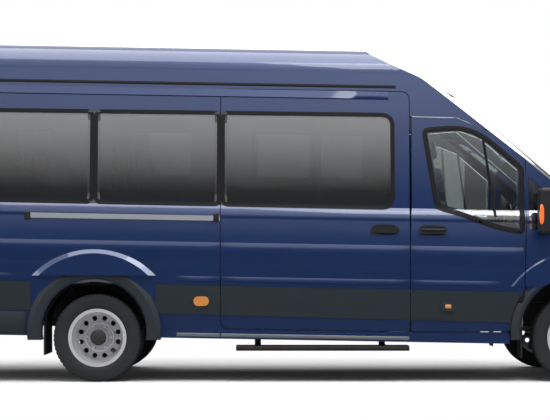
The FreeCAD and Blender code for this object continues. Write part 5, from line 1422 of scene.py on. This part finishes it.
@dataclass
class Ends:
    """Lamp bowls, the bare rear plate and the marker lenses of the doors."""

    bowls: tuple = ((3.172, -0.610, 0.835, 0.072), (3.105, -0.775, 0.835, 0.060))
    bowl_depth: float = 0.045
    bowl_backs: tuple = (0.050, 0.053)
    bowl_lip: float = 0.002
    plate_half: tuple = (0.003, 0.26, 0.056)
    rim_half: tuple = (0.255, 0.051)
    rim_corner: float = 0.01
    rim_radius: float = 0.0022
    plate_place: tuple = (-0.30, 1.02)
    plate_gap: float = 0.001
    door_lens: tuple = ((1.290, -1.0325, 0.575), (1.344, -1.012, 0.607))

    def bowl(self, x: float, y: float, z: float, radius: float) -> Shape:
        """A reflector bowl open to the front: a parabola turned round X, with an even wall behind it."""
        share = np.linspace(0.02, 1.0, 10)
        inside, outside = self.bowl_backs
        front = np.stack([x - inside + self.bowl_depth * share**2, radius * share], axis=-1)
        share = share[::-1]
        back = np.stack([x - outside + self.bowl_depth * share**2, radius * share + self.bowl_lip], axis=-1)
        return turned(np.concatenate([front, back]), (0.0, y, z), 0, 36)

    def plate(self, x: float, y: float, z: float) -> Shape:
        """A bare plate, 520 by 112 mm, with soft edges and a thin raised rim on its rear face."""
        thick, width, height = self.plate_half
        board = pebble((x - thick, -width, z - height), (x + thick, width, z + height), 0.12, (40, 24))
        across, up = self.rim_half
        corners = [(a * across, b * up, self.rim_corner) for a, b in ((-1, -1), (1, -1), (1, 1), (-1, 1))]
        rim = rounded_loop(corners)
        path = np.stack([np.full(len(rim), x - thick), rim[:, 0], z + rim[:, 1]], axis=-1)
        return together([board, tube(path, self.rim_radius, 8, True)]).moved(0.0, y, 0.0)

    def build(self) -> None:
        """Bowls behind the lenses, the rear plate and the lenses on the door trims."""
        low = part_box("rear_door_right")[0]
        rear_plate = self.plate(low[0] - self.plate_gap, *self.plate_place)
        make_piece("rear_plate", rear_plate, FINISHES["blank_plate"], "rear_door_right")
        for side, sign in SIDES.items():
            bowls = together([self.bowl(*place) for place in self.bowls]).on(sign)
            make_piece(f"lamp_bowls_{side}", bowls, FINISHES["reflector_chrome"], "body")
            lens = pebble(*self.door_lens, 0.5, (28, 16)).on(sign)
            door, amber = f"front_door_{side}", FINISHES["lamp_amber"]
            make_piece(f"door_marker_lens_{side}", lens, amber, door)


@dataclass
class CabFittings:
    """A steering rim with its spokes, about the middle of the part's own steering wheel."""

    radius: float = 0.190
    lean: float = 28.0
    rim_radius: float = 0.015
    spoke_radius: float = 0.011
    spoke_angles: tuple = (8, 172, 270)
    boss_low: tuple = (0.035, 0.075, 0.07)
    boss_high: tuple = (0.02, 0.075, 0.07)

    def build(self) -> None:
        """Adds a rim on a circle that leans back, three spokes and a soft boss."""
        lean = math.radians(self.lean)
        up = np.array([math.sin(lean), 0.0, math.cos(lean)])
        across = np.array([0.0, 1.0, 0.0])
        low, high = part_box("steering_wheel")
        middle = (np.array(low) + np.array(high)) / 2
        turn = np.linspace(0, 2 * np.pi, 64, endpoint=False)
        path = middle + self.radius * (np.cos(turn)[:, None] * across + np.sin(turn)[:, None] * up)
        parts = [tube(path, self.rim_radius, 14, True)]
        for angle in map(math.radians, self.spoke_angles):
            tip = middle + self.radius * (math.cos(angle) * across + math.sin(angle) * up)
            parts.append(tube([middle, tip], self.spoke_radius))
        parts.append(pebble(middle - np.array(self.boss_low), middle + np.array(self.boss_high), 0.5))
        make_piece("steering_rim", together(parts), FINISHES["dark_interior"], "body")


def main() -> None:
    """Dresses the frame's own parts, builds each sub-assembly and sets up the studio."""
    logging.basicConfig(level=logging.INFO, format="%(message)s")
    Coachwork().dress(frame["nodes"])
    for assembly in (
        BodySides(), Glazing(), RoadWheels(), Seats(), DoorFurniture(), ArchLiners(), Ends(), CabFittings(),
    ):
        LOG.info("%s", type(assembly).__name__)
        assembly.build()
    Studio().build()


if __name__ == "__main__":
    main()
